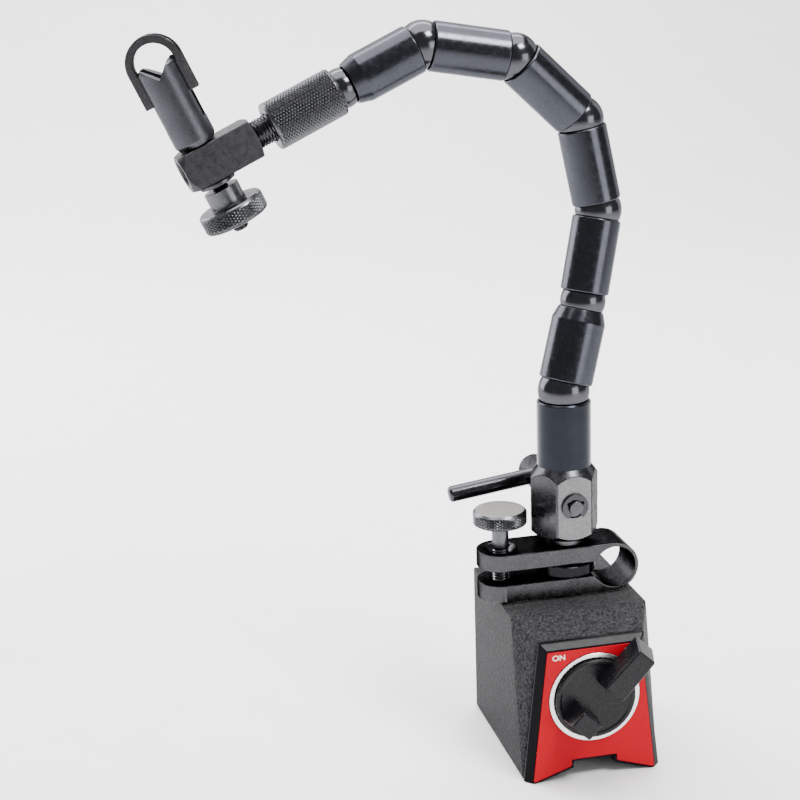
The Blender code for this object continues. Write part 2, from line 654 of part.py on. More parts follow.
def make_puller(puller):
    """The cam lifts and lowers this plug, which holds the end of the tension cable."""
    radius = POST_BORE - FIT
    bottom, top = POST_FLOOR + 2 * FIT, CAM_Z + PULLER_TOP
    socket = CABLE_RADIUS + FIT
    bm = turned([(0, bottom), (radius, bottom), (radius, top), (socket, top),
                 (socket, top - CABLE_SOCKET), (0, top - CABLE_SOCKET)])
    body = add("cable_puller", bm, puller, place(), "bright_steel")
    half, below, above = PULLER_WINDOW
    window = slab((-half, -POST_BORE, CAM_Z - below), (half, POST_BORE, CAM_Z + above))
    combine(body, window, place())
    cable_end = FIRST_BALL_Z + CABLE_PAST_CENTRE - CABLE_SLACK
    cable = rod(CABLE_RADIUS, top - CABLE_SOCKET + REST, cable_end, SMALL_SEGMENTS)
    add("tension_cable_0", cable, puller, place(), "bright_steel")


# ---------------------------------------------------------------- arm

def ball_centres():
    centres = [Vector((POST_X, 0, FIRST_BALL_Z))]
    for lean, out, length in LINKS:
        centres.append(centres[-1] + direction(lean, out) * length)
    return centres


def along(axis):
    """A rotation that takes Z to a direction."""
    return axis.to_track_quat("Z", "Y").to_matrix().to_4x4()


def make_ball(number, parent):
    """A ball with a through-bore for the cable, flared at both mouths."""
    radius = BALL_RADII[number]
    mouth = math.acos(BALL_MOUTH / radius)
    steps = 8
    profile = []
    for step in range(steps + 1):
        angle = mouth - 2 * mouth * step / steps
        profile.append((radius * math.cos(angle), radius * math.sin(angle)))
    flare = radius * math.sin(mouth) - (BALL_MOUTH - BALL_BORE)
    profile += [(BALL_BORE, -flare), (BALL_BORE, flare)]
    add(f"arm_ball_{number + 1}", turned(profile, closed=True), parent, place(), "ball_steel")


def make_tube(number, parent):
    """A link between two balls, with a spherical seat at each end. Z runs from ball to ball."""
    length = LINKS[number][2]
    radius = TUBE_RADII[number]
    near_rim = FIRST_RIM if number == 0 else RIM
    near = cup(BALL_RADII[number], near_rim, TUBE_BORE, 1)
    far = [(r, length + z) for r, z in cup(BALL_RADII[number + 1], RIM, TUBE_BORE, -1)]
    taper, rim_radius = TAPERS.get(number, (EDGE, radius - EDGE))
    end = length - RIM
    profile = near[::-1] + [(radius - EDGE, near_rim), (radius, near_rim + EDGE), (radius, end - taper),
                            (rim_radius, end)] + far
    add(f"arm_tube_{number + 1}", turned(profile, closed=True), parent, place(), "black_steel")
    start = BALL_RADII[number] + 2 * FIT
    cable = rod(CABLE_RADIUS, start, length + CABLE_PAST_CENTRE, SMALL_SEGMENTS)
    add(f"tension_cable_{number + 1}", cable, parent, place(), "bright_steel")


def make_arm(post_frame):
    """The chain of balls and tubes. Each empty stands on a ball's centre."""
    centres = ball_centres()
    axes = [Vector((0, 0, 1))]
    axes += [direction(lean, out) for lean, out, _ in LINKS]
    axes.append(direction(*END_DIRECTION))
    for number, centre in enumerate(centres):
        ball = add_empty(f"joint_ball_{number + 1}", post_frame, place(centre, along(axes[number])))
        make_ball(number, ball)
        link = add_empty(f"joint_link_{number + 1}", post_frame, place(centre, along(axes[number + 1])))
        if number < len(LINKS):
            make_tube(number, link)
    return centres[-1], axes[-1]


# ---------------------------------------------------------------- head

def make_end(head):
    """The knurled sleeve on the last ball, and the cable's end in it. Z runs outwards."""
    seat = cup(BALL_RADII[-1], SLEEVE_START, SLEEVE_BORE, 1)
    stud = STUD_RADIUS + FIT
    chamfer = 0.9
    profile = seat[::-1] + [(SLEEVE_RADIUS - chamfer, SLEEVE_START), (SLEEVE_RADIUS, SLEEVE_START + chamfer),
                            (SLEEVE_RADIUS, SLEEVE_END - chamfer), (SLEEVE_RADIUS - chamfer, SLEEVE_END),
                            (stud, SLEEVE_END), (stud, SLEEVE_THREAD), (SLEEVE_BORE, SLEEVE_THREAD)]
    add("knurled_sleeve", turned(profile, closed=True), head, place(), "satin_black_steel")
    radius, start, end = FERRULE
    cable_start = BALL_RADII[-1] + 2 * FIT
    ferrule = turned([(0, cable_start), (CABLE_RADIUS, cable_start), (CABLE_RADIUS, start), (radius, start),
                      (radius, end), (0, end)], segments=SMALL_SEGMENTS)
    add("cable_end", ferrule, head, place(), "bright_steel")


def make_block(head):
    """The stud and the square block on it."""
    stud_end = CROSS_AXIS - SPIGOT_RADIUS - 3 * FIT
    threaded = rod(STUD_RADIUS, STUD_START, stud_end, bevel=EDGE)
    add("threaded_stud", threaded, head, place(), "black_steel")
    diagonal = BLOCK_SIDE / math.sqrt(2)
    stud = STUD_RADIUS + FIT
    (near, near_taper), (far, far_taper) = BLOCK_ENDS
    mouth = 0.7
    profile = [(near, BLOCK_START), (diagonal, BLOCK_START + near_taper), (diagonal, BLOCK_END - far_taper),
               (far, BLOCK_END), (BLOCK_SOCKET + mouth, BLOCK_END), (BLOCK_SOCKET, BLOCK_END - mouth),
               (BLOCK_SOCKET, CROSS_AXIS), (stud, CROSS_AXIS), (stud, BLOCK_START)]
    block = add("end_block", turned(profile, closed=True), head, place(), "satin_black_steel")
    half = BLOCK_SIDE / 2
    square = slab((-half, -half, BLOCK_START - OVERCUT), (half, half, BLOCK_END + OVERCUT))
    combine(block, square, operation="INTERSECT")
    cross = rod(SPIGOT_RADIUS + FIT, -BLOCK_SIDE, BLOCK_SIDE)
    combine(block, cross, place((0, 0, CROSS_AXIS), turn("X", -90)))


def make_stem_clamp(stem, hook):
    """The V-sleeve turns in the block. The hook slides in the sleeve. Z runs up the cross axis."""
    bore = SHANK_RADIUS + FIT
    shoulder, shoulder_height = 1.1, 1.8
    profile = [(bore, SPIGOT_END), (SPIGOT_RADIUS, SPIGOT_END), (SPIGOT_RADIUS, V_BASE),
               (V_RADIUS - shoulder, V_BASE), (V_RADIUS, V_BASE + shoulder_height), (V_RADIUS, V_TOP - EDGE),
               (V_RADIUS - EDGE, V_TOP), (bore, V_TOP)]
    sleeve = add("v_sleeve", turned(profile, closed=True), stem, place(), "satin_black_steel")
    slot = PLATE_THICKNESS / 2 + FIT
    past = V_RADIUS + OVERCUT
    combine(sleeve, slab((-past, -slot, V_SLOT_BOTTOM), (past, slot, V_TOP + OVERCUT)))
    mouth = V_DEPTH + OVERCUT
    notch = [(0, V_TOP - V_DEPTH), (mouth, V_TOP + OVERCUT), (-mouth, V_TOP + OVERCUT)]
    combine(sleeve, prism(notch, -past, past, upright=True))
    washer_radius, washer_thickness = SPRING_WASHER
    washer_top = -BLOCK_SIDE / 2 - REST
    washer = ring(SPIGOT_RADIUS + FIT, washer_radius, washer_top - washer_thickness, washer_top)
    add("spring_washer", washer, stem, place(), "black_steel")

    half = PLATE_THICKNESS / 2
    outline = arc((0, EYE_HEIGHT), PLATE_RADIUS, 0, 180, SEGMENTS)
    outline += [(-PLATE_RADIUS, PLATE_BOTTOM), (PLATE_RADIUS, PLATE_BOTTOM)]
    plate = add("stem_hook", prism(outline, -half, half, upright=True), hook, place(), "satin_black_steel")
    eye = rod(STEM_EYE_RADIUS, -half - OVERCUT, half + OVERCUT, 2 * SEGMENTS)
    combine(plate, eye, place((0, 0, EYE_HEIGHT), turn("X", -90)))
    shank = rod(SHANK_RADIUS, SHANK_END, PLATE_BOTTOM + OVERCUT, SMALL_SEGMENTS, bevel=EDGE)
    combine(plate, shank, place(), "UNION")


def make_clamp_nut(nut):
    bore = SHANK_RADIUS + FIT
    chamfer = 2 * EDGE
    profile = [(bore, NUT_TOP), (NUT_COLLAR - EDGE, NUT_TOP), (NUT_COLLAR, NUT_TOP - EDGE),
               (NUT_COLLAR, NUT_SHOULDER), (NUT_RADIUS - chamfer, NUT_SHOULDER),
               (NUT_RADIUS, NUT_SHOULDER - chamfer), (NUT_RADIUS, NUT_BOTTOM + chamfer),
               (NUT_RADIUS - chamfer, NUT_BOTTOM), (bore, NUT_BOTTOM)]
    add("clamp_nut", turned(profile, closed=True), nut, place(), "satin_black_steel")


# ---------------------------------------------------------------- assembly

def build():
    clear_scene()
    base = add_empty("assembly", None, place(BASE_CENTRE))
    make_poles(base)
    make_spacers(base)
    make_rear_cover(base)
    make_cover(base)
    make_label(base)
    make_stop_pin(base)
    make_switch(add_empty("joint_switch", base, place((0, 0, SWITCH_HEIGHT))))

    fine = add_empty("joint_fine_tilt", base, place((EYE_X, 0, EYE_Z)))
    make_clamp(base, fine)
    make_thumbscrew(add_empty("joint_thumbscrew", base, place((SCREW_X, 0, 0))))

    post = add_empty("post", base, place((POST_X, 0, 0), turn("Z", POST_TURN)))
    make_post(post)
    make_lever(add_empty("joint_cam_lever", post, cam_axis()))
    make_puller(add_empty("joint_puller", post, place()))

    last_ball, end = make_arm(base)
    head = add_empty("joint_head", base, place(last_ball, head_rotation(end)))
    make_end(head)
    make_block(head)
    cross = head.matrix_basis @ place((0, 0, CROSS_AXIS)) @ turn("X", -90) @ turn("Z", 90 + CLAMP_TURN)
    make_stem_clamp(add_empty("joint_stem_clamp", base, cross), add_empty("joint_hook", base, cross))
    make_clamp_nut(add_empty("joint_clamp_nut", base, cross))
    bpy.context.view_layer.update()


def head_rotation(end):
    """Z along the arm's last direction and Y upwards, then the roll."""
    up = Vector((0, 0, 1)) - end * end.z
    up.normalize()
    rotation = Matrix((up.cross(end), up, end)).transposed().to_4x4()
    return Matrix.Rotation(math.radians(HEAD_ROLL), 4, end) @ rotation


build()
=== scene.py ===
"""Looks of the magnetic base indicator holder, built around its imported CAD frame.

Sizes below are millimetres in each piece's own frame; meshes become metres as they are made.
A turned piece has Z along its axis and is placed by the frame's joints. Its profile is a list of
(radius, height) points.
"""

import json
import math

import bmesh
import bpy
from mathutils import Matrix, Vector


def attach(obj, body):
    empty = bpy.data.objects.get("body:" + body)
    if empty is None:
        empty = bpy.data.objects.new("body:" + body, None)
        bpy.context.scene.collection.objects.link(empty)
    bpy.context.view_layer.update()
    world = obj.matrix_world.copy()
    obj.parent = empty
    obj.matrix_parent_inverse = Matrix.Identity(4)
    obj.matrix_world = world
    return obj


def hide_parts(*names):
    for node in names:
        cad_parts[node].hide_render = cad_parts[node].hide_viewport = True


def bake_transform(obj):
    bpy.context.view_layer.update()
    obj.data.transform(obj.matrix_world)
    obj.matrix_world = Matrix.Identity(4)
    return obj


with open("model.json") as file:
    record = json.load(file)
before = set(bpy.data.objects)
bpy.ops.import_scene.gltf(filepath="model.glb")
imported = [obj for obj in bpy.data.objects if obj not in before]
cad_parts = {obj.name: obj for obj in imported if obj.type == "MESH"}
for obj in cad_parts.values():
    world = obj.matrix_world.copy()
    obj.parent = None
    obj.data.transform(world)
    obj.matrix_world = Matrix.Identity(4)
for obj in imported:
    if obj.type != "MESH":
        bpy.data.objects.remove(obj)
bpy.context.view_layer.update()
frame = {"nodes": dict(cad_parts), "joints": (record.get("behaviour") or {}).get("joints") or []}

MM = 0.001
ROUND = 96  # segments of a large turned piece
SMALL_ROUND = 48
SHARP = math.radians(32)
EASE = 0.25  # the usual rounding of a turned corner
FINE_EASE = 0.15  # the rounding of a corner beside a knurl or a seat
MOST = 0.45  # the most of a side that one rounded corner takes
PAST = 1.0  # how far a cutter runs past the surface it opens
JOINTS = {joint["name"]: joint for joint in frame["joints"]}


# -------- places

def joint_place(name):
    return Vector(JOINTS[name]["pos_m"])


def joint_axis(name):
    return Vector(JOINTS[name]["axis"]).normalized()


def basis(origin, x, y, z):
    matrix = Matrix((x, y, z)).transposed().to_4x4()
    matrix.translation = origin
    return matrix


def on_axis(origin, z, near_y=Vector((0, 1, 0))):
    """A frame with Z along a direction, and Y as near as it can be to another."""
    y = (near_y - z * near_y.dot(z)).normalized()
    return basis(origin, y.cross(z), y, z)


def shifted(matrix, x=0.0, y=0.0, z=0.0):
    return matrix @ Matrix.Translation(Vector((x, y, z)) * MM)


def turned_by(matrix, axis, degrees):
    return matrix @ Matrix.Rotation(math.radians(degrees), 4, axis)


def facing_back(x=0.0, y=0.0, z=0.0):
    """A place whose Z runs from the front to the back."""
    return turned_by(Matrix.Translation((x, y, z)), "X", -90)


AT_ORIGIN = Matrix.Identity(4)
UP = Vector((0, 0, 1))
SWITCH = joint_place("switch_turn")
SWITCH_PLACE = facing_back(*SWITCH)
SWITCH_HEIGHT = (SWITCH / MM).z
BASE = Matrix.Translation((SWITCH.x, SWITCH.y, 0))
EYE = joint_place("fine_tilt")
CAM = joint_place("lever_turn")
CAM_AXIS = joint_axis("lever_turn")
POST = on_axis(Vector((CAM.x, CAM.y, 0)), UP, CAM_AXIS)
LEVER = on_axis(CAM, CAM_AXIS, -UP)
SCREW = Matrix.Translation(joint_place("fine_screw_turn"))
BALLS = [joint_place(f"ball_{number}_bend") for number in range(1, 8)]
NEAR_Y = Vector((0, 1, 0.1))  # what the balls' and tubes' Y keeps near
END_AXIS = joint_axis("head_turn")
STEM_AXIS = joint_axis("clamp_turn")
AXES = [(b - a).normalized() for a, b in zip(BALLS, BALLS[1:])] + [END_AXIS]
END = on_axis(BALLS[-1], END_AXIS, STEM_AXIS)
HOOK_TURN = 72.0  # of the hook's plate about the cross axis, from the block's square
SIDE_AXIS = STEM_AXIS.cross(END_AXIS).normalized()
STEM_SQUARE = basis(joint_place("clamp_turn"), SIDE_AXIS, -END_AXIS, STEM_AXIS)
STEM = turned_by(STEM_SQUARE, "Z", HOOK_TURN)


# -------- outlines

def corner_points(here, back, on, reach, steps):
    """Round a corner. back and on lead from it to its neighbours."""
    start = here + back.normalized() * reach
    end = here + on.normalized() * reach
    shares = [step / steps for step in range(steps + 1)]
    return [tuple(start * (1 - t) ** 2 + here * 2 * t * (1 - t) + end * t * t) for t in shares]


def eased(points, size=EASE, steps=3, closed=False, every=False):
    """Round each corner of an outline. The ends of an open one stay sharp.

    So do nearly straight corners, unless every corner is to get the same number of points.
    """
    shortest, straight = 0.01, 0.12
    count = len(points)
    result = []
    for index, point in enumerate(points):
        if not closed and index in (0, count - 1):
            result.append(tuple(point))
            continue
        here = Vector(point)
        back = Vector(points[index - 1]) - here
        on = Vector(points[(index + 1) % count]) - here
        reach = min(size, MOST * back.length, MOST * on.length)
        if not every and (reach < shortest or math.pi - back.angle(on) < straight):
            result.append(tuple(point))
        else:
            result += corner_points(here, back, on, reach, steps)
    return result


def arc(centre, radius, start, end, steps):
    points = []
    for step in range(steps + 1):
        angle = math.radians(start + (end - start) * step / steps)
        points.append((centre[0] + radius * math.cos(angle), centre[1] + radius * math.sin(angle)))
    return points


def mirrored(outline):
    return [(-x, z) for x, z in reversed(outline)]


def upright(outline, y):
    return [(x, y, z) for x, z in outline]


def flat(outline, z):
    return [(x, y, z) for x, y in outline]


def inset(outline, distance):
    """Move each side of a counterclockwise outline inwards."""
    if not distance:
        return outline
    least_share = 0.35
    moved = []
    for index, point in enumerate(outline):
        here = Vector(point)
        before = (here - Vector(outline[index - 1])).normalized()
        after = (Vector(outline[(index + 1) % len(outline)]) - here).normalized()
        normal = Vector((-before.y - after.y, before.x + after.x))
        if normal.length < 1e-6:
            normal = Vector((-before.y, before.x))
        normal.normalize()
        share = max(least_share, normal.dot(Vector((-before.y, before.x))))
        moved.append(tuple(here + normal * distance / share))
    return moved


def edge_levels(low, high, size, steps=3):
    """Levels of (height, inset) between two faces, with a quarter round at each edge."""
    levels = []
    for step in range(steps + 1):
        angle = math.pi / 2 * step / steps
        levels.append((low + size * (1 - math.sin(angle)), size * (1 - math.cos(angle))))
    levels = levels[::-1]
    return levels + [(low + high - level, depth) for level, depth in reversed(levels)]


# -------- turned pieces
# A row is (radius, height), and a relief if it isn't plain.

KNURL = (1.05, 0.42)  # pitch and depth of the usual knurl


def knurl_rows(radius, low, high, knurl):
    """Rows of a diamond knurl. Every second point is the bottom of two crossing grooves."""
    pitch, depth = knurl
    count = 2 * max(1, round((high - low) / pitch))
    rows = [(radius - depth, low)]
    for row in range(1, count):
        rows.append((radius, low + (high - low) * row / count, ("knurl", depth, row)))
    return rows + [(radius - depth, high)]


def knurl_segments(radius, knurl):
    return 2 * round(math.pi * radius / knurl[0])


def drum_rows(radius, low, high, below, above, edge):
    """Rows of a knurled drum with turned ends, between the profiles below and above it.

    edge is how far the chamfer's inner and outer corners lie inside the knurl.
    """
    land, gap = 0.1, 0.05
    inner, outer = edge
    corner = inner - outer
    strip = corner + land
    foot = [(radius - inner, low), (radius - outer, low + corner), (radius - outer, low + strip)]
    head = [(radius - outer, high - strip), (radius - outer, high - corner), (radius - inner, high)]
    knurl = knurl_rows(radius, low + strip + gap, high - strip - gap, KNURL)
    return eased(below + foot, FINE_EASE) + knurl + eased(head + above, FINE_EASE)


def thread_rows(radius, low, high, pitch, depth):
    """Rows of a helical thread that fades in and out over its first and last turn."""
    per_turn = 6
    count = max(2, round((high - low) / pitch * per_turn))
    rows = []
    for row in range(count + 1):
        height = low + (high - low) * row / count
        fade = min(1.0, (height - low) / pitch, (high - height) / pitch)
        rows.append((radius, height, ("thread", depth * fade, pitch)))
    return rows


def row_radius(row, column, segments):
    if len(row) == 2:
        return row[0]
    radius, height, (kind, depth, value) = row
    if kind == "knurl":
        return radius - depth if (column + value) % 2 == 0 else radius
    phase = (height / value - column / segments) % 1.0
    return radius - depth * abs(2 * phase - 1)


def lathe_loop(bm, row, segments, shift):
    """A row's points, or the same point for each column where it's on the axis."""
    height = row[1]
    if row[0] < 1e-6:
        return [bm.verts.new((0, shift, height))] * segments
    loop = []
    for column in range(segments):
        angle = math.tau * column / segments
        radius = row_radius(row, column, segments)
        x, y = radius * math.cos(angle), radius * math.sin(angle) + shift
        loop.append(bm.verts.new((x, y, height)))
    return loop


def lathe_rows(rows, segments=ROUND, closed=False, offset=None):
    """Skin rows about Z. offset(height) moves a row's centre along Y."""
    bm = bmesh.new()
    loops = [lathe_loop(bm, row, segments, offset(row[1]) if offset else 0.0) for row in rows]
    pairs = list(zip(range(len(rows)), range(1, len(rows))))
    if closed:
        pairs.append((len(rows) - 1, 0))
    for low, high in pairs:
        lower, upper = loops[low], loops[high]
        knurled = len(rows[low]) == len(rows[high]) == 3 and rows[low][2][0] == "knurl"
        for column in range(segments):
            after = (column + 1) % segments
            a, b, c, d = lower[column], lower[after], upper[after], upper[column]
            faces = [(a, b, c, d)]
            if knurled:
                odd = (column + rows[low][2][2]) % 2
                faces = ((a, b, d), (b, c, d)) if odd else ((a, b, c), (a, c, d))
            for face in faces:
                bm.faces.new(list(dict.fromkeys(face))).smooth = not knurled
    return bm


def lathe(profile, segments=ROUND, closed=False, ease=EASE):
    return lathe_rows(eased(profile, ease, closed=closed), segments, closed)


def rod(radius, low, high, segments=SMALL_ROUND):
    return lathe([(0, low), (radius, low), (radius, high), (0, high)], segments, ease=0.0)


def ring(inner, outer, low, high, segments=SMALL_ROUND, ease=EASE):
    profile = [(inner, low), (outer, low), (outer, high), (inner, high)]
    return lathe(profile, segments, closed=True, ease=ease)


# -------- other shapes

def loft(loops):
    """Skin matching closed loops of points, with a face at each end."""
    bm = bmesh.new()
    made = [[bm.verts.new(point) for point in loop] for loop in loops]
    bm.faces.new(made[0])
    bm.faces.new(made[-1])
    for low, high in zip(made, made[1:]):
        for index in range(len(low)):
            after = (index + 1) % len(low)
            bm.faces.new((low[index], low[after], high[after], high[index]))
    return all_smooth(bm)


def all_smooth(bm):
    for face in bm.faces:
        face.smooth = True
    return bm


def prism(outline, low, high, size=EASE, standing=False):
    """Extrude a counterclockwise outline between two heights, with rounded edges."""
    wrap = upright if standing else flat
    levels = edge_levels(low, high, size)
    return loft([wrap(inset(outline, depth), level) for level, depth in levels])


def faceted(sides, flats, low, high, ends, ease):
    """A bar with flat sides and slightly turned corners, whose ends are turned to a chamfer.

    ends are each end's face radius, and the radius that its cone reaches at a distance from
    that face.
    """
    turned_off, steps = 0.15, 20
    half = 180 / sides
    limit = flats / 2 / math.cos(math.radians(half)) - turned_off
    meet = math.degrees(math.acos(flats / 2 / limit))
    offsets = [-meet + 2 * meet * step / steps for step in range(steps + 1)] + [half]
    (low_radius, low_reach, low_length), (high_radius, high_reach, high_length) = ends
    columns = []
    for side in range(sides):
        for offset in offsets:
            angle = math.radians(90 + 2 * half * side + offset)
            radius = min(limit, flats / 2 / math.cos(math.radians(offset)))
            low_z = low + low_length * (radius - low_radius) / (low_reach - low_radius)
            high_z = high - high_length * (radius - high_radius) / (high_reach - high_radius)
            profile = [(low_radius, low), (radius, low_z), (radius, high_z), (high_radius, high)]
            x, y = math.cos(angle), math.sin(angle)
            columns.append([(r * x, r * y, z) for r, z in eased(profile, ease, every=True)])
    return loft([list(loop) for loop in zip(*columns)])


def cut(tool, matrix=AT_ORIGIN):
    return ("DIFFERENCE", tool, matrix)


def modify(made, kind, **settings):
    modifier = made.modifiers.new(kind, kind)
    for key, value in settings.items():
        setattr(modifier, key, value)


def combine(bm, *tools):
    """Cut, join or intersect a shape with others, each given as (operation, bmesh, matrix)."""
    made = [temporary(bm, AT_ORIGIN)]
    for operation, tool, matrix in tools:
        made.append(temporary(tool, matrix))
        modify(made[0], "BOOLEAN", operation=operation, solver="EXACT", object=made[-1])
    return applied(made)


def softened(bm, width):
    """Round the edges that a cut has left sharp."""
    made = [temporary(bm, AT_ORIGIN)]
    modify(made[0], "BEVEL", width=width, segments=2, limit_method="ANGLE",
           angle_limit=math.radians(30), use_clamp_overlap=False, miter_outer="MITER_ARC")
    return applied(made)


def linked(name, data):
    made = bpy.data.objects.new(name, data)
    bpy.context.scene.collection.objects.link(made)
    return made


def temporary(bm, matrix):
    """An object in millimetres that stands in the scene until its shape is read."""
    bmesh.ops.recalc_face_normals(bm, faces=bm.faces)
    mesh = bpy.data.meshes.new("tool")
    bm.to_mesh(mesh)
    bm.free()
    made = linked("tool", mesh)
    made.matrix_world = matrix
    return made


def shown(made):
    """The object as its modifiers leave it."""
    bpy.context.view_layer.update()
    return made.evaluated_get(bpy.context.evaluated_depsgraph_get())


def applied(made):
    """The first object's shape with its modifiers, as a bmesh. All the objects are removed."""
    merge = 0.002
    result = shown(made[0])
    bm = bmesh.new()
    bm.from_mesh(result.to_mesh())
    result.to_mesh_clear()
    for tool in made:
        mesh = tool.data
        bpy.data.objects.remove(tool)
        bpy.data.meshes.remove(mesh)
    bmesh.ops.remove_doubles(bm, verts=bm.verts, dist=merge)
    bmesh.ops.dissolve_degenerate(bm, edges=bm.edges, dist=merge)
    return all_smooth(bm)


def piece(name, bm, matrix, finish, body, *nodes, other=None, blend=None):
    """Make a piece that stands for CAD nodes. other is (finish, test), for the faces that pass."""
    bmesh.ops.recalc_face_normals(bm, faces=bm.faces)
    mesh = bpy.data.meshes.new(name)
    smooth = [face.smooth for face in bm.faces]
    mesh.materials.append(finish)
    if other:
        other_finish, test = other
        mesh.materials.append(other_finish)
        for face in bm.faces:
            face.material_index = int(test(face))
    bmesh.ops.scale(bm, vec=(MM, MM, MM), verts=bm.verts)
    bm.to_mesh(mesh)
    bm.free()
    mesh.polygons.foreach_set("use_smooth", smooth)
    mesh.set_sharp_from_angle(angle=SHARP)
    made = linked(name, mesh)
    made.matrix_world = matrix
    weigh_normals(made)
    bpy.context.view_layer.update()
    if blend:
        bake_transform(made)
    else:
        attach(made, body)
    if nodes:
        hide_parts(*nodes)
    return made


def weigh_normals(made):
    """Let the large faces set the shading, so that flats stay flat beside their rounded edges."""
    modify(made, "WEIGHTED_NORMAL", keep_sharp=True)
    weighed = bpy.data.meshes.new_from_object(shown(made))
    plain = made.data
    made.modifiers.clear()
    made.data = weighed
    bpy.data.meshes.remove(plain)
    weighed.name = made.name


# -------- finishes

class Graph:
    """A material's nodes, with short ways to add the textures that the finishes share."""

    def __init__(self, name, colour, roughness, metallic=0.0, specular=0.5, edge=1.0):
        """specular and edge set how bright paint and metal are at a grazing angle."""
        self.made = bpy.data.materials.new(name)
        self.made.use_nodes = True
        self.tree = self.made.node_tree
        self.shader = self.tree.nodes["Principled BSDF"]
        self.feed(self.shader, {"Base Color": (*colour, 1.0), "Roughness": roughness,
                                "Metallic": metallic, "Specular IOR Level": specular,
                                "Specular Tint": (edge, edge, edge, 1.0)})
        self.coordinates = self.add("TexCoord", {}).outputs["Object"]
        self.normal = None

    def feed(self, node, inputs):
        """Give a node its inputs, which are values or the outputs of other nodes."""
        for socket, value in inputs.items():
            if isinstance(value, bpy.types.NodeSocket):
                self.tree.links.new(value, node.inputs[socket])
            else:
                node.inputs[socket].default_value = value

    def add(self, kind, inputs, **settings):
        node = self.tree.nodes.new("ShaderNode" + kind)
        for key, value in settings.items():
            setattr(node, key, value)
        self.feed(node, inputs)
        return node

    def stretched(self, scale):
        return self.add("Mapping", {"Vector": self.coordinates, "Scale": scale}).outputs["Vector"]

    def around(self):
        """Coordinates that depend only on the radius and the height, for turning marks."""
        split = self.add("SeparateXYZ", {"Vector": self.coordinates}).outputs
        level = self.add("CombineXYZ", {"X": split["X"], "Y": split["Y"]}).outputs["Vector"]
        radius = self.add("VectorMath", {0: level}, operation="LENGTH").outputs["Value"]
        return self.add("CombineXYZ", {"X": radius, "Z": split["Z"]}).outputs["Vector"]

    def noise(self, per_metre, detail, vector=None, roughness=0.55):
        inputs = {"Vector": vector or self.coordinates, "Scale": per_metre, "Detail": detail,
                  "Roughness": roughness}
        return self.add("TexNoise", inputs).outputs["Fac"]

    def cells(self, per_metre):
        inputs = {"Vector": self.coordinates, "Scale": per_metre}
        return self.add("TexVoronoi", inputs, feature="SMOOTH_F1").outputs["Distance"]

    def ranged(self, value, low, high, start=0.3, end=0.7):
        inputs = {"Value": value, "From Min": start, "From Max": end, "To Min": low, "To Max": high}
        return self.add("MapRange", inputs, interpolation_type="SMOOTHSTEP").outputs["Result"]

    def colours(self, value, first, last, start=0.3, end=0.7):
        """Run from one colour to another as the value goes from start to end."""
        node = self.add("ValToRGB", {"Fac": value})
        stops = (start, first), (end, last)
        for element, (position, colour) in zip(node.color_ramp.elements, stops):
            element.position = position
            element.color = (*colour, 1.0)
        return node.outputs["Color"]

    def mixed(self, value, first, colour):
        inputs = {0: value, 6: first, 7: (*colour, 1.0)}
        return self.add("Mix", inputs, data_type="RGBA").outputs[2]

    def bump(self, height, depth, strength):
        """depth is the height, in millimetres, that the texture stands for."""
        inputs = {"Height": height, "Distance": depth * MM, "Strength": strength}
        if self.normal:
            inputs["Normal"] = self.normal
        self.normal = self.add("Bump", inputs).outputs["Normal"]

    def finish(self, colour, roughness=None):
        found = {"Base Color": colour, "Roughness": roughness, "Normal": self.normal}
        self.feed(self.shader, {socket: value for socket, value in found.items() if value})
        return self.made


def scaled(colour, share):
    return tuple(channel * share for channel in colour)


def wrinkle_paint():
    graph = Graph("wrinkle_paint", (0.045, 0.045, 0.048), 0.35, specular=0.008)
    wrinkles = graph.noise(1050, 6.0, roughness=0.7)
    tone = graph.colours(wrinkles, (0.018, 0.018, 0.019), (0.076, 0.076, 0.08), 0.38, 0.64)
    graph.bump(graph.cells(1200), 0.9, 1.0)
    graph.bump(wrinkles, 1.2, 1.0)
    return graph.finish(tone, graph.ranged(wrinkles, 0.28, 0.45))


OXIDE_EDGE = 0.55  # how bright the oxide is at a grazing angle
FLECK = 2.6  # how much brighter its flecks are


def oxide(name, colour, low, high, speckle, scratches, turning=0.0, edge=OXIDE_EDGE):
    """Black oxide on steel, with a roughness from low to high.

    Its colour is cloudy and finely speckled. It has scratches lengthwise, or turning marks.
    """
    graph = Graph(name, colour, (low + high) / 2, metallic=1.0, edge=edge)
    tone = graph.colours(graph.noise(90, 4.0), scaled(colour, 0.9), scaled(colour, 1.08))
    speckles = graph.noise(3200, 2.0, roughness=0.7)
    flecks = graph.ranged(speckles, 0.0, speckle, 0.54, 0.70)
    tone = graph.mixed(flecks, tone, scaled(colour, FLECK))
    rough = graph.ranged(graph.noise(500, 4.0), low, high)
    graph.bump(graph.noise(2600, 2.0), 0.012, 0.25 + speckle)
    if scratches:
        streaks = graph.noise(1500, 2.0, graph.stretched((1.0, 1.0, 0.02)))
        graph.bump(streaks, 0.01, scratches)
    if turning:
        graph.bump(graph.noise(3500, 2.0, graph.around()), 0.012, turning)
    return graph.finish(tone, rough)


def brushed(name, colour, low, high, turning=0.4):
    """Bare metal with turning marks, with a roughness from low to high."""
    graph = Graph(name, colour, (low + high) / 2, metallic=1.0)
    rings = graph.noise(4200, 3.0, graph.around())
    tone = graph.colours(rings, scaled(colour, 0.72), colour)
    graph.bump(rings, 0.015, turning)
    graph.bump(graph.noise(2400, 2.0), 0.008, 0.3)
    return graph.finish(tone, graph.ranged(graph.noise(700, 3.0), low, high))


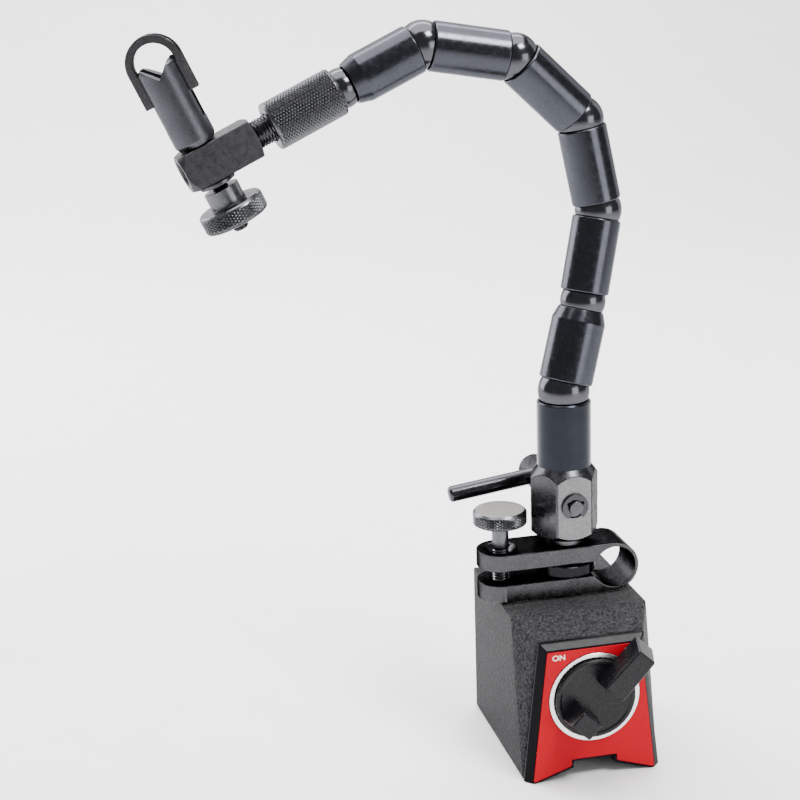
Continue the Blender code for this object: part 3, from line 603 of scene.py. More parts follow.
def coated(name, colour, rough, tones, bumps, grain, span, **settings):
    """Paint, print or plastic. A noise is (scale, detail); a bump is (noise, depth, strength)."""
    graph = Graph(name, colour, rough, **settings)
    noise, low, high = tones
    tone = graph.colours(graph.noise(*noise), low, high)
    for noise, depth, strength in bumps:
        graph.bump(graph.noise(*noise), depth, strength)
    return graph.finish(tone, graph.ranged(graph.noise(*grain), *span))


def cable_strands():
    """Wires that wind round the cable, as bands across it."""
    graph = Graph("cable_strands", (0.5, 0.5, 0.51), 0.32, metallic=1.0)
    inputs = {"Vector": graph.coordinates, "Scale": 700.0, "Distortion": 0.6}
    bands = graph.add("TexWave", inputs, bands_direction="DIAGONAL").outputs["Fac"]
    tone = graph.colours(bands, (0.2, 0.2, 0.2), (0.55, 0.55, 0.56), 0.1, 0.6)
    graph.bump(bands, 0.15, 0.7)
    return graph.finish(tone)


PAINT = wrinkle_paint()
TUBE_OXIDE = oxide("tube_oxide", (0.048, 0.05, 0.059), 0.18, 0.28, 0.05, 0.6)
POST_OXIDE = oxide("post_oxide", (0.02, 0.0215, 0.027), 0.17, 0.27, 0.05, 0.6, edge=0.8)
BALL_OXIDE = oxide("ball_oxide", (0.066, 0.066, 0.074), 0.14, 0.22, 0.1, 0.0)
ROD_OXIDE = oxide("rod_oxide", (0.05, 0.05, 0.055), 0.18, 0.28, 0.2, 0.2)
# The nut's oxide is painted darker than the turned oxide: painted shade between the clamp's leaves.
NUT_PAINTED_SHADE = oxide("nut_painted_shade", (0.014, 0.014, 0.016), 0.16, 0.26, 0.1, 0.0)
HEX_OXIDE = oxide("hex_oxide", (0.058, 0.058, 0.063), 0.2, 0.32, 0.3, 0.1, edge=0.3)
# The hexagon's flats that the cam's shaft comes out of are painted lighter than its other sides:
# painted light.
HEX_PAINTED_LIGHT = oxide("hex_painted_light", (0.14, 0.137, 0.14), 0.3, 0.44, 0.9, 0.1)
CLAMP_OXIDE = oxide("clamp_oxide", (0.052, 0.051, 0.054), 0.2, 0.32, 0.35, 0.1, edge=0.15)
SATIN_OXIDE = oxide("satin_oxide", (0.05, 0.049, 0.053), 0.28, 0.42, 0.5, 0.1)
STEM_OXIDE = oxide("stem_oxide", (0.062, 0.063, 0.072), 0.3, 0.42, 0.4, 0.2)
KNURL_OXIDE = oxide("knurl_oxide", (0.1, 0.101, 0.108), 0.22, 0.34, 0.4, 0.0)
TURNED_OXIDE = oxide("turned_oxide", (0.075, 0.075, 0.08), 0.22, 0.34, 0.3, 0.0, 0.6, 0.3)
# The thumbscrew's top face is painted lighter than its knurl: a painted highlight of the light
# above.
SCREW_TOP_HIGHLIGHT = brushed("screw_top_highlight", (0.18, 0.168, 0.16), 0.3, 0.42)
RING_SILVER = brushed("ring_silver", (0.82, 0.82, 0.83), 0.22, 0.34, 0.3)
BRIGHT_STEEL = brushed("bright_steel", (0.55, 0.55, 0.56), 0.22, 0.35)
BRASS = brushed("machined_brass", (0.72, 0.5, 0.2), 0.25, 0.4)
MAGNET = brushed("ground_magnet", (0.2, 0.19, 0.19), 0.4, 0.55)
COVER_PAINT = coated("cover_paint", (0.003, 0.003, 0.004), 0.18,
                     ((400, 3.0), (0.002, 0.002, 0.003), (0.004, 0.004, 0.005)),
                     [((600, 2.0), 0.01, 0.2)], (500, 3.0), (0.14, 0.22), specular=0.05)
LABEL = coated("label_print", (0.37, 0.0006, 0.009), 0.4,
               ((2500, 3.0), (0.35, 0.0005, 0.008), (0.39, 0.0007, 0.01)),
               [((1600, 2.0), 0.004, 0.3)], (900, 3.0), (0.34, 0.42), specular=0.06)
MARK = coated("mark_print", (0.85, 0.82, 0.8), 0.4,
              ((1800, 3.0), (0.74, 0.70, 0.68), (0.9, 0.88, 0.86)), [], (900, 2.0), (0.35, 0.5))
PLASTIC = coated("moulded_plastic", (0.005, 0.005, 0.006), 0.3,
                 ((600, 4.0), (0.003, 0.003, 0.004), (0.007, 0.007, 0.008)),
                 [((500, 2.0), 0.02, 0.2), ((3800, 2.0), 0.04, 0.7)], (3800, 2.0), (0.18, 0.3),
                 specular=0.2)
CABLE = cable_strands()


# -------- base
# Heights are from the floor and depths from the base's middle, so the front is at -Y.

HALF = 25.0  # half of the base's width
BACK = 31.0
FRONT = -BACK
HEIGHT = 57.0
SLOPE = 12.3  # how far back the front of the top slopes
COVER_TOP = 51.7  # where the front face meets the slope
COVER_TOP_HALF = 19.25  # half of the front face's width there
FOOT = 2.5
GROOVE_HALF = 7.44  # slot along the middle of the underside
GROOVE_EDGE = 4.26  # where the V meets the slot
GROOVE_TOP = 6.79
BORE = 15.6
CAST_EDGE = 1.3  # rounding of the painted iron's long edges
END_INSETS = ((0.0, 0.7), (0.12, 0.4), (0.35, 0.15), (0.7, 0.0))  # distance from an end, inset
PLUG_PROFILE = [(0, 26.0), (15.3, 26.0), (15.3, BACK), (0, BACK)]


def base_section(y):
    """The base's outline at a depth: the front slopes back at the top and tapers to the feet."""
    share = min(1.0, max(0.0, (y - FRONT) / SLOPE))
    ease = 0.06
    rounded = share if share < 1 - ease else 1 - max(0.0, 1 + ease - share) ** 2 / (4 * ease)
    top = COVER_TOP + (HEIGHT - COVER_TOP) * min(1.0, rounded)
    top_half = COVER_TOP_HALF + (HALF - COVER_TOP_HALF) * share
    margin = 0.9
    knee = max(margin, min(top - margin, HEIGHT * share))
    lean = (HALF - top_half) * knee / top
    knee_half = HALF if share > 0.02 else HALF - lean
    right = [(GROOVE_HALF, GROOVE_TOP), (GROOVE_HALF, GROOVE_EDGE), (HALF - FOOT, 0.0), (HALF, 0.0),
             (knee_half, knee), (top_half, top)]
    return eased(right + mirrored(right), CAST_EDGE, 4, closed=True)


def base_levels():
    """(depth, inset) of the base's sections, close together at the ends and along the slope."""
    steps = 26
    first = END_INSETS[-1][0]
    run = SLOPE + 1.0 - first
    levels = [(FRONT + distance, drawn) for distance, drawn in END_INSETS]
    levels += [(FRONT + first + run * step / steps, 0.0) for step in range(1, steps + 1)]
    return levels + [(BACK - distance, drawn) for distance, drawn in reversed(END_INSETS)]


def make_base():
    loops = []
    for y, drawn in base_levels():
        share_x, share_z = 1 - drawn / HALF, 1 - 2 * drawn / HEIGHT
        outline = [(x * share_x, drawn + z * share_z) for x, z in base_section(y)]
        loops.append(upright(outline, y))
    bore = rod(BORE, FRONT - PAST, BACK + PAST, ROUND)
    body = combine(loft(loops), cut(bore, facing_back(z=SWITCH_HEIGHT)))
    piece("painted_base", body, BASE, PAINT, "base",
          "base_pole_left", "base_pole_right", "spacer_top", "spacer_bottom")
    piece("bore_plug", lathe(PLUG_PROFILE, ease=0.5), SWITCH_PLACE, PAINT, "base", "rear_cover")


COVER_BACK = -31.3
COVER_FRONT = -35.0
BEVEL = 2.3
BEVEL_START = COVER_FRONT + BEVEL
COVER_EASE = 0.5
SHAFT_HOLE = 5.2
# Depth, and how far the cover's outline is drawn in, with both ends of the bevel rounded
COVER_LEVELS = ((COVER_BACK, 0.35), (COVER_BACK - 0.12, 0.12), (COVER_BACK - 0.4, 0.0),
                (BEVEL_START + 0.3, 0.0), (BEVEL_START, 0.1), (BEVEL_START - 0.3, 0.38),
                (COVER_FRONT + 0.35, BEVEL - 0.3), (COVER_FRONT + 0.1, BEVEL),
                (COVER_FRONT, BEVEL + 0.25))
FIXING_X = 19.5
FIXING_Z = 12.0
FIXING_PROFILE = [(0, 0.2), (1.5, 0.2), (1.5, 1.1), (1.0, 1.1), (1.0, 8.0), (0, 8.0)]


def cover_outline(top, side, foot_margin, foot_width):
    """The front's outline, drawn in at its sides and by a margin along its foot."""
    slant = (HALF - COVER_TOP_HALF) / COVER_TOP
    edge = HALF - side
    groove = GROOVE_HALF + foot_margin
    right = [(groove, GROOVE_TOP + foot_margin), (groove, GROOVE_EDGE + foot_margin),
             (edge - foot_width, foot_margin), (edge - slant * foot_margin, foot_margin),
             (edge - slant * top, top)]
    return right + mirrored(right)


def make_cover():
    loops = []
    for y, drawn in COVER_LEVELS:
        foot = FOOT if drawn < 1 else FOOT * 0.6
        outline = cover_outline(COVER_TOP - drawn, drawn, 0.0, foot)
        loops.append(upright(eased(outline, COVER_EASE, closed=True), y))
    hole = rod(SHAFT_HOLE, COVER_FRONT - PAST, COVER_BACK + PAST)
    tools = [cut(hole, facing_back(z=SWITCH_HEIGHT))]
    radius, depth, segments = 1.6, 1.2, 24
    for x, name in ((-FIXING_X, "left"), (FIXING_X, "right")):
        hole = rod(radius, COVER_FRONT - PAST, COVER_FRONT + depth, segments)
        tools.append(cut(hole, facing_back(x, 0, FIXING_Z)))
        place = turned_by(shifted(BASE, x, COVER_FRONT, FIXING_Z), "X", -90)
        screw = lathe(FIXING_PROFILE, segments, ease=0.1)
        piece(f"cover_fixing_{name}", screw, place, BRIGHT_STEEL, "base", f"cover_screw_{name}")
    piece("cover_plate", combine(loft(loops), *tools), BASE, COVER_PAINT, "base", "front_cover")


LABEL_BACK = -35.2
LABEL_FRONT = -35.6
LABEL_INSET = 2.6
LABEL_FOOT = (0.9, 1.0)  # margin along the foot, and the foot's width
LABEL_EDGE = 0.12
LABEL_HOLE = 16.6
RING_RADII = (14.8, 16.4)
RING_FRONT = -36.0
MARK_SIDES = {"ON": (-15.15, -10.65), "OFF": (10.9, 16.5)}
MARK_FOOT, MARK_TOP = 45.95, 47.95


def make_label():
    outline = cover_outline(COVER_TOP - LABEL_INSET, LABEL_INSET, *LABEL_FOOT)
    outline = eased(outline, COVER_EASE, closed=True)
    plate = prism(outline, LABEL_FRONT, LABEL_BACK, LABEL_EDGE, standing=True)
    hole = rod(LABEL_HOLE, LABEL_FRONT - PAST, LABEL_BACK + PAST, ROUND)
    plate = combine(plate, cut(hole, facing_back(z=SWITCH_HEIGHT)))
    piece("red_label", plate, BASE, LABEL, "base", "face_label")
    silver = ring(*RING_RADII, RING_FRONT, LABEL_BACK, ROUND, ease=0.2)
    piece("silver_ring", silver, SWITCH_PLACE, RING_SILVER, "base", "dial_ring")
    for word, sides in MARK_SIDES.items():
        make_mark(word, *sides)


def make_mark(word, left, right):
    """Raised print on the label: the word between two sides."""
    extrude, thinned, gap = 0.05, 0.5, 0.02
    curve = bpy.data.curves.new(word, "FONT")
    curve.body = word
    curve.extrude = extrude
    curve.offset = 0.01
    text = linked(word, curve)
    bm = bmesh.new()
    bm.from_mesh(bpy.data.meshes.new_from_object(shown(text)))
    bpy.data.objects.remove(text)
    bmesh.ops.remove_doubles(bm, verts=bm.verts, dist=1e-5)
    xs = [v.co.x for v in bm.verts]
    ys = [v.co.y for v in bm.verts]
    for v in bm.verts:
        x = left + (right - left) * (v.co.x - min(xs)) / (max(xs) - min(xs))
        z = MARK_FOOT + (MARK_TOP - MARK_FOOT) * (v.co.y - min(ys)) / (max(ys) - min(ys))
        v.co = (x, LABEL_FRONT - gap - (v.co.z + extrude) * thinned, z)
    made = piece(f"mark_{word.lower()}", bm, BASE, MARK, "base")


# -------- switch

KNOB_BACK = -35.3
KNOB_THICKNESS = 2.4
# From the middle of its face, which is sunk, round the rim, to the socket for the shaft
KNOB_PROFILE = [(0, -2.05), (12.6, -2.05), (13.1, -2.4), (14.2, -2.4), (14.5, -2.0), (14.5, 0),
                (3.3, 0), (3.3, -1.6), (0, -1.6)]
LUG_DEPTH = 7.6
LUG_SINK = 0.4  # how deep a lug's foot stands in the disc
LUG_EDGE = 0.8
# Each lug's foot and face: where it starts and ends from the axis, and its half width at each
LONG_LUG = ((4.9, 25.7, 4.6, 4.4), (5.6, 23.1, 4.3, 3.9))
SHORT_LUG = ((4.6, 12.9, 5.1, 5.1), (5.2, 11.8, 4.4, 4.4))
# The share of the lug's height, and how far its outline is drawn in
LUG_LEVELS = ((0.0, 0.0), (0.5, 0.0), (0.92, 0.0), (0.965, 0.12), (0.99, 0.35), (1.0, 0.62))
LUG_TILT = -46.5  # of the long lug about the switch's axis; the short one is opposite


def lug(foot, face):
    """A lug with rounded edges that narrows from its foot on the disc to its face."""
    loops = []
    for share, drawn in LUG_LEVELS:
        sizes = [low + (high - low) * share for low, high in zip(foot, face)]
        start, end, half_start, half_end = sizes
        corners = [(start + drawn, -half_start + drawn), (end - drawn, -half_end + drawn),
                   (end - drawn, half_end - drawn), (start + drawn, half_start - drawn)]
        y = LUG_SINK - (LUG_DEPTH + LUG_SINK) * share
        loops.append(upright(eased(corners, LUG_EDGE, 4, closed=True), y))
    return loft(loops)


def make_knob():
    on_face = turned_by(Matrix.Translation((0, 0, -KNOB_THICKNESS)), "X", 90)
    lugs = [("UNION", lug(*LONG_LUG), turned_by(on_face, "Y", LUG_TILT)),
            ("UNION", lug(*SHORT_LUG), turned_by(on_face, "Y", LUG_TILT + 180))]
    body = combine(lathe(KNOB_PROFILE), *lugs)
    piece("switch_grip", body, shifted(SWITCH_PLACE, z=KNOB_BACK), PLASTIC, "switch", "switch_knob")


# -------- fine-adjust clamp

CLAMP_HALF = 8.7
CLAMP_BOTTOM = 58.0
LEAF = 6.3
GAP = 5.2
CLAMP_TOP = CLAMP_BOTTOM + 2 * LEAF + GAP
EYE_X = 17.2
EYE_Z = (CLAMP_TOP + CLAMP_BOTTOM) / 2
EYE_OUTER = (CLAMP_TOP - CLAMP_BOTTOM) / 2
EYE_INNER = 7.5
CLAMP_EDGE = 0.45
POST_X = 1.0
SCREW_X = -23.0
SCREW_RADIUS = 3.0
HOLE = 3.3  # for a screw or a stud
SCREW_SINK = 2.0  # how deep the thumbscrew's tip sits in the lower leaf
COLLAR_RADIUS = 7.0
COLLAR = (76.0, 78.8)
WASHER = (57.2, 57.8)
NUT_TOP = CLAMP_TOP - LEAF - 0.2
NUT_BOTTOM = NUT_TOP - 4.0
NUT_PROFILE = [(0, NUT_BOTTOM), (10.8, NUT_BOTTOM), (10.8, NUT_TOP), (SCREW_RADIUS, NUT_TOP),
               (SCREW_RADIUS, 84.7), (0, 84.7)]


def clamp_outline():
    """Two leaves joined by a round eye, which they leave at 45 degrees."""
    left = SCREW_X - CLAMP_HALF - PAST
    gap = GAP / 2
    junction = EYE_X - EYE_INNER * math.sqrt(2) + gap
    outline = arc((EYE_X, EYE_Z), EYE_OUTER, -90, 90, 48)
    outline += [(left, CLAMP_TOP), (left, EYE_Z + gap), (junction, EYE_Z + gap)]
    outline += arc((EYE_X, EYE_Z), EYE_INNER, 135, -135, 60)
    return outline + [(junction, EYE_Z - gap), (left, EYE_Z - gap), (left, CLAMP_BOTTOM)]


def clamp_plan():
    """The clamp from above, round at the screw's end, and past its own sides everywhere else."""
    side = CLAMP_HALF + PAST
    right = EYE_X + EYE_OUTER + PAST
    end = arc((SCREW_X, 0), CLAMP_HALF, 90, 270, 40)[1:-1]
    return [(SCREW_X, side)] + end + [(SCREW_X, -side), (right, -side), (right, side)]


def make_clamp():
    high = CLAMP_TOP + PAST
    plan = clamp_plan()
    envelope = loft([flat(plan, CLAMP_BOTTOM - PAST), flat(plan, high)])
    radius, mouth, depth = 3.4, 6.8, 2.4
    sink = [(0, EYE_Z), (radius, EYE_Z), (radius, CLAMP_TOP - depth), (mouth, high), (0, high)]
    screw = Matrix.Translation((SCREW_X, 0, 0))
    tip_hole = rod(HOLE, CLAMP_BOTTOM + LEAF - SCREW_SINK, EYE_Z)
    tools = [("INTERSECT", envelope, AT_ORIGIN),
             cut(lathe(sink, SMALL_ROUND, ease=0.0), screw),
             cut(tip_hole, screw),
             cut(rod(HOLE, EYE_Z, high), Matrix.Translation((POST_X, 0, 0)))]
    body = prism(clamp_outline(), -CLAMP_HALF, CLAMP_HALF, 0.0, standing=True)
    body = softened(combine(body, *tools), CLAMP_EDGE)
    reach = UP * (GAP / 2) * MM
    blend = ("base", "post", EYE - reach, EYE + reach)
    piece("spring_clamp", body, BASE, CLAMP_OXIDE, None, "clamp_lower_leaf", "clamp_upper_leaf",
          blend=blend)


def make_fixings():
    """The nut and the collar that hold the post, and the washer under the clamp."""
    # The nut is painted dark, as painted shade between the leaves.
    piece("post_nut", lathe(NUT_PROFILE, ease=0.5), POST, NUT_PAINTED_SHADE, "post", "post_stud")
    collar = ring(HOLE, COLLAR_RADIUS, *COLLAR, ROUND, ease=0.3)
    piece("collar", collar, POST, TURNED_OXIDE, "post", "post_collar")
    washer = ring(HOLE, COLLAR_RADIUS, *WASHER, ease=FINE_EASE)
    piece("base_washer", washer, shifted(BASE, x=POST_X), BRIGHT_STEEL, "base", "clamp_washer")


HEAD_RADIUS = 9.75
HEAD_BOTTOM = 85.0
HEAD_TOP = 90.4
HEAD_KNURL = (0.95, 0.36)
SCREW_TIP = [(0, 62.5), (2.5, 62.5)]
SCREW_THREAD = (63.0, 76.5, 1.0, 0.35)  # start, end, pitch and depth


def make_thumbscrew():
    low, high, wall = HEAD_BOTTOM, HEAD_TOP, HEAD_RADIUS
    rows = SCREW_TIP + thread_rows(SCREW_RADIUS, *SCREW_THREAD)
    rows += [(SCREW_RADIUS, SCREW_THREAD[1] + 0.5), (SCREW_RADIUS, low - 0.3), (HOLE, low)]
    under = [(HOLE + 0.2, low), (wall - 0.7, low), (wall - 0.2, low + 0.4), (wall - 0.2, low + 0.6)]
    over = [(wall - 0.15, high - 0.9), (wall - 0.15, high - 0.85), (wall - 1.0, high), (0, high)]
    knurl = knurl_rows(wall, low + 0.6, high - 0.95, HEAD_KNURL)
    rows += eased(under, FINE_EASE) + knurl + eased(over, 0.2)
    body = lathe_rows(rows, knurl_segments(wall, HEAD_KNURL))
    # Its top face takes the lighter finish, a painted highlight.
    piece("knurled_screw", body, SCREW, KNURL_OXIDE, "fine_screw", "thumbscrew",
          other=(SCREW_TOP_HIGHLIGHT, is_screw_top))


def is_screw_top(face):
    return face.calc_center_median().z > HEAD_TOP - 0.1 and face.normal.z > 0.9


# -------- post and cam lever

BALL_RADII = (9.15, 8.0, 8.2, 8.2, 8.2, 8.2, 6.9)
FIRST_RIM = 3.3  # how far the post's and the first tube's rims stop from the ball's centre
POST_BORE = 6.0
POST_FLOOR = 86.5
POST_RADIUS = 9.6
STUD_HOLE_TOP = 85.0
HEX_FLATS = 22.0
HEX_LOW = 79.0
HEX_HIGH = 105.0
HEX_CORNER = HEX_FLATS / math.sqrt(3)
# Each end's face radius, then the radius and the height that its turned chamfer reaches
HEX_ENDS = ((10.3, HEX_CORNER, 2.2), (POST_RADIUS, HEX_CORNER, 4.2))
CAM_HOLE = 4.3


def cup(radius, rim, bore, sign):
    """A tube's spherical seat, from its rim to its bore. Heights are from the ball's centre."""
    gap, steps = 0.3, 10
    seat = radius + gap
    first, last = math.degrees(math.asin(rim / seat)), math.degrees(math.acos(bore / seat))
    return [(r, sign * z) for r, z in arc((0, 0), seat, first, last, steps)]


def make_post():
    body = combine(faceted(6, HEX_FLATS, HEX_LOW, HEX_HIGH, HEX_ENDS, 0.3),
                   cut(rod(CAM_HOLE, -HEX_FLATS, HEX_FLATS), facing_back(z=CAM.z / MM)),
                   cut(rod(HOLE, HEX_LOW - PAST, STUD_HOLE_TOP)),
                   cut(rod(POST_BORE, POST_FLOOR, HEX_HIGH + PAST)))
    # The flats facing along the cam's shaft take the lighter finish, which is painted light.
    piece("post_hexagon", body, POST, HEX_OXIDE, "post", "post_body", other=(HEX_PAINTED_LIGHT, faces_pin))
    ball = BALLS[0].z / MM
    rim = ball - FIRST_RIM
    edge = 0.5
    seat = [(r, ball + z) for r, z in cup(BALL_RADII[0], FIRST_RIM, POST_BORE, -1)]
    wall = [(POST_BORE, HEX_HIGH), (POST_RADIUS, HEX_HIGH), (POST_RADIUS, rim - edge),
            (POST_RADIUS - edge, rim)]
    tube = lathe_rows(eased(wall, FINE_EASE) + seat, closed=True)
    made = piece("post_tube", tube, POST, POST_OXIDE, "post")


def faces_pin(face):
    """The flats that the cam's shaft comes out of, painted lighter than the hexagon's other sides
    as painted light.
    """
    return abs(face.normal.y) > 0.99 and abs(face.calc_center_median().y) > 0.99 * HEX_FLATS / 2


# The lever's heights run back along the cam's axis, from the middle of the hexagon
FLAT = HEX_FLATS / 2
SHAFT_RADIUS = 4.0
LOBE_HALF = 5.7  # half of the cam's length
LOBE_THROW = 0.8  # how far the cam is off its axis
SHOULDER = LOBE_HALF + 0.1
HUB_RADIUS = 5.8
HUB_END = 35.0
PIN_PROFILE = [(0, -FLAT - 2.2), (2.5, -FLAT - 2.2), (2.5, -FLAT - 1.2), (1.9, -FLAT - 1.2),
               (1.9, -FLAT - 0.2), (2.5, -FLAT - 0.2), (2.5, -FLAT + 0.4),
               (SHAFT_RADIUS, -FLAT + 0.4), (SHAFT_RADIUS, -SHOULDER)]
LOBE_PROFILE = [(3.1, -LOBE_HALF), (3.1, LOBE_HALF)]
HUB_PROFILE = [(SHAFT_RADIUS, SHOULDER), (SHAFT_RADIUS, FLAT + 0.3), (HUB_RADIUS, FLAT + 0.3),
               (HUB_RADIUS, HUB_END), (4.6, HUB_END), (4.3, HUB_END - 0.4), (0, HUB_END - 0.4)]
BAR_PROFILE = [(0, -1.7), (3.0, -1.7), (3.0, 35.8), (2.3, 36.5), (0, 36.5)]
BAR_RAISE = 1.9
BAR_DROP = 6.7  # degrees below level


def cam_offset(height):
    return LOBE_THROW if abs(height) <= LOBE_HALF else 0.0


def make_lever():
    rows = eased(PIN_PROFILE, 0.3) + LOBE_PROFILE + eased(HUB_PROFILE, 0.45)
    shaft = lathe_rows(rows, SMALL_ROUND, offset=cam_offset)
    piece("cam_pin", shaft, LEVER, TURNED_OXIDE, "cam_lever", "cam_shaft")
    middle = shifted(LEVER, y=-BAR_RAISE, z=(FLAT + HUB_END) / 2)
    lay = turned_by(turned_by(middle, "Z", -BAR_DROP), "Y", -90)
    bar = lathe(BAR_PROFILE, SMALL_ROUND, ease=0.2)
    piece("lever_bar", bar, lay, ROD_OXIDE, "cam_lever", "lever_rod")


def make_clip():
    """An open retaining ring with three teeth that reach the pin's groove."""
    outer, inner, teeth = 4.8, 3.5, 1.35
    half_opening, steps = 34.0, 72
    start, end = 90 - half_opening, 90 + half_opening - 360
    outline = arc((0, 0), outer, end, start, 64)
    for step in range(steps + 1):
        angle = math.radians(start + (end - start) * step / steps)
        tooth = 1 - max(0.0, math.cos(3 * angle - math.radians(270))) ** 2
        radius = inner - teeth * tooth
        outline.append((radius * math.cos(angle), radius * math.sin(angle)))
    clip = prism(outline, -FLAT - 1.0, -FLAT - 0.4, LABEL_EDGE)
    piece("open_ring", clip, LEVER, ROD_OXIDE, "cam_lever", "retaining_ring")


# -------- arm

TUBE_RADII = (9.5, 8.5, 8.5, 8.5, 8.5, 8.5)
TAPERS = {0: (4.2, 8.0), 5: (4.6, 7.2)}  # length of a tube's far taper, and its rim's radius
RIM = 3.0
TUBE_EDGE = 0.4
TUBE_BORE = 4.5
BALL_BORE = 1.8
BALL_MOUTH = 3.2


def make_balls():
    steps = 40
    for number, (centre, radius) in enumerate(zip(BALLS, BALL_RADII), 1):
        mouth = math.degrees(math.acos(BALL_MOUTH / radius))
        profile = arc((0, 0), radius, mouth, -mouth, steps)
        flare = profile[0][1] - (BALL_MOUTH - BALL_BORE)
        profile += [(BALL_BORE, -flare), (BALL_BORE, flare)]
        ball = lathe(profile, closed=True, ease=0.0)
        place = on_axis(centre, joint_axis(f"ball_{number}_swivel"), NEAR_Y)
        piece(f"ball_{number}", ball, place, BALL_OXIDE, f"ball_{number}", f"arm_ball_{number}")


def make_tubes():
    for number, radius in enumerate(TUBE_RADII):
        length = (BALLS[number + 1] - BALLS[number]).length / MM
        near_rim = FIRST_RIM if number == 0 else RIM
        near = cup(BALL_RADII[number], near_rim, TUBE_BORE, 1)
        far = [(r, length + z) for r, z in cup(BALL_RADII[number + 1], RIM, TUBE_BORE, -1)]
        taper, rim_radius = TAPERS.get(number, (TUBE_EDGE, radius - TUBE_EDGE))
        end = length - RIM
        wall = [near[0], (radius - TUBE_EDGE, near_rim), (radius, near_rim + TUBE_EDGE),
                (radius, end - taper), (rim_radius, end), far[0]]
        rows = near[:0:-1] + eased(wall, 0.2) + far[1:]
        place = on_axis(BALLS[number], AXES[number], NEAR_Y)
        piece(f"tube_{number + 1}", lathe_rows(rows, closed=True), place, TUBE_OXIDE,
              f"link_{number + 1}", f"arm_tube_{number + 1}")


# -------- head
# The sleeve, stud and block are measured from the last ball along the arm's end.

STUD_BORE = 5.2
STUD_RADIUS = 4.9
CROSS = 51.1  # where the cross axis meets the block
BLOCK_SIDE = 12.6


def make_end():
    radius, low, high = 8.4, 1.9, 27.3
    bore, bore_end = 4.0, 16.5
    seat = cup(BALL_RADII[-1], low, bore, 1)[::-1]
    inside = [(STUD_BORE, high), (STUD_BORE, bore_end), (bore, bore_end)]
    drum = drum_rows(radius, low, high, [(seat[-1][0], low)], inside, (0.6, 0.15))
    sleeve = lathe_rows(seat + drum[1:], knurl_segments(radius, KNURL), closed=True)
    piece("grip_sleeve", sleeve, END, KNURL_OXIDE, "end_sleeve", "knurled_sleeve")
    start, end, tip = 17.2, 45.7, 0.5
    pitch, depth, segments = 1.1, 0.5, 72
    rows = [(0, start), (STUD_RADIUS - tip, start), (STUD_RADIUS, start + tip)]
    rows += thread_rows(STUD_RADIUS, start + 0.6, end - tip, pitch, depth)
    rows += [(STUD_RADIUS - tip, end), (0, end)]
    stud = lathe_rows(rows, segments)
    piece("stud_thread", stud, END, TURNED_OXIDE, "head", "threaded_stud")


def make_block():
    start, end, past = 33.3, 60.0, 0.6
    socket, mouth = 4.3, 0.7
    diagonal = BLOCK_SIDE / math.sqrt(2)
    ends = ((6.2, diagonal, 0.9), (6.3, diagonal, 2.6))
    bore = [(0, start - PAST), (STUD_BORE, start - PAST), (STUD_BORE, CROSS), (socket, CROSS),
            (socket, end - mouth), (socket + mouth + past, end + past), (0, end + past)]
    body = combine(faceted(4, BLOCK_SIDE, start, end, ends, EASE),
                   cut(lathe(bore, SMALL_ROUND, ease=0.0)),
                   cut(rod(4.8, -BLOCK_SIDE, BLOCK_SIDE), facing_back(z=CROSS)))
    piece("clamp_block", body, END, SATIN_OXIDE, "head", "end_block")


# The rest is measured from the block's middle along the cross axis.

SHANK_RADIUS = 2.6
SHANK_BORE = 2.9
PLATE_HALF = 2.15  # half of the hook plate's thickness
V_RADIUS = 7.15
V_TOP = 35.6
V_DEPTH = 4.8
V_PROFILE = [(SHANK_BORE, -8.2), (4.5, -8.2), (4.5, 6.6), (V_RADIUS - 1.1, 6.6), (V_RADIUS, 8.4),
             (V_RADIUS, V_TOP - 1.2), (V_RADIUS - 0.7, V_TOP), (SHANK_BORE, V_TOP)]
SLOT_BOTTOM = 14.3


def make_v_sleeve():
    past, high = V_RADIUS + PAST, V_TOP + PAST
    slot = PLATE_HALF + 0.3
    plan = [(-past, -slot), (past, -slot), (past, slot), (-past, slot)]
    slot_tool = loft([flat(plan, SLOT_BOTTOM), flat(plan, high)])
    notch = [(0, V_TOP - V_DEPTH), (V_DEPTH + PAST, high), (-V_DEPTH - PAST, high)]
    notch_tool = loft([upright(notch, -past), upright(notch, past)])
    body = combine(lathe(V_PROFILE, closed=True, ease=0.3), cut(slot_tool), cut(notch_tool))
    piece("v_sleeve_turned", softened(body, 0.2), STEM, STEM_OXIDE, "stem_clamp", "v_sleeve")
    washer = ring(4.8, 6.2, -7.8, -6.5, ease=0.3)
    piece("thrust_washer", washer, STEM, TURNED_OXIDE, "stem_clamp", "spring_washer")


def make_hook():
    centre, radius, bottom = (0, V_TOP), 9.4, 23.4
    outline = arc(centre, radius, 0, 180, 64) + [(-radius, bottom), (radius, bottom)]
    hole, lip = 6.8, 0.3
    eye = arc(centre, hole, 0, 360, 72)[:-1]
    mouth = arc(centre, hole + lip, 0, 360, 72)[:-1]
    front = [(PLATE_HALF - lip, eye), (PLATE_HALF + 0.01, mouth), (PLATE_HALF + PAST, mouth)]
    levels = [(-y, loop) for y, loop in reversed(front)] + front
    eye_tool = loft([upright(loop, y) for y, loop in levels])
    start, end, tip = -24.7, bottom + PAST, 2.0
    thread_end, pitch, depth = -8.0, 0.8, 0.28
    rows = [(0, start), (tip, start), (SHANK_RADIUS, start + 0.5)]
    rows += thread_rows(SHANK_RADIUS, start + 0.6, thread_end, pitch, depth)
    rows += [(SHANK_RADIUS, thread_end + 0.5), (SHANK_RADIUS, end), (0, end)]
    body = combine(prism(outline, -PLATE_HALF, PLATE_HALF, lip, standing=True), cut(eye_tool),
                   ("UNION", lathe_rows(rows, SMALL_ROUND), AT_ORIGIN))
    piece("eye_plate", body, STEM, CLAMP_OXIDE, "hook", "stem_hook")


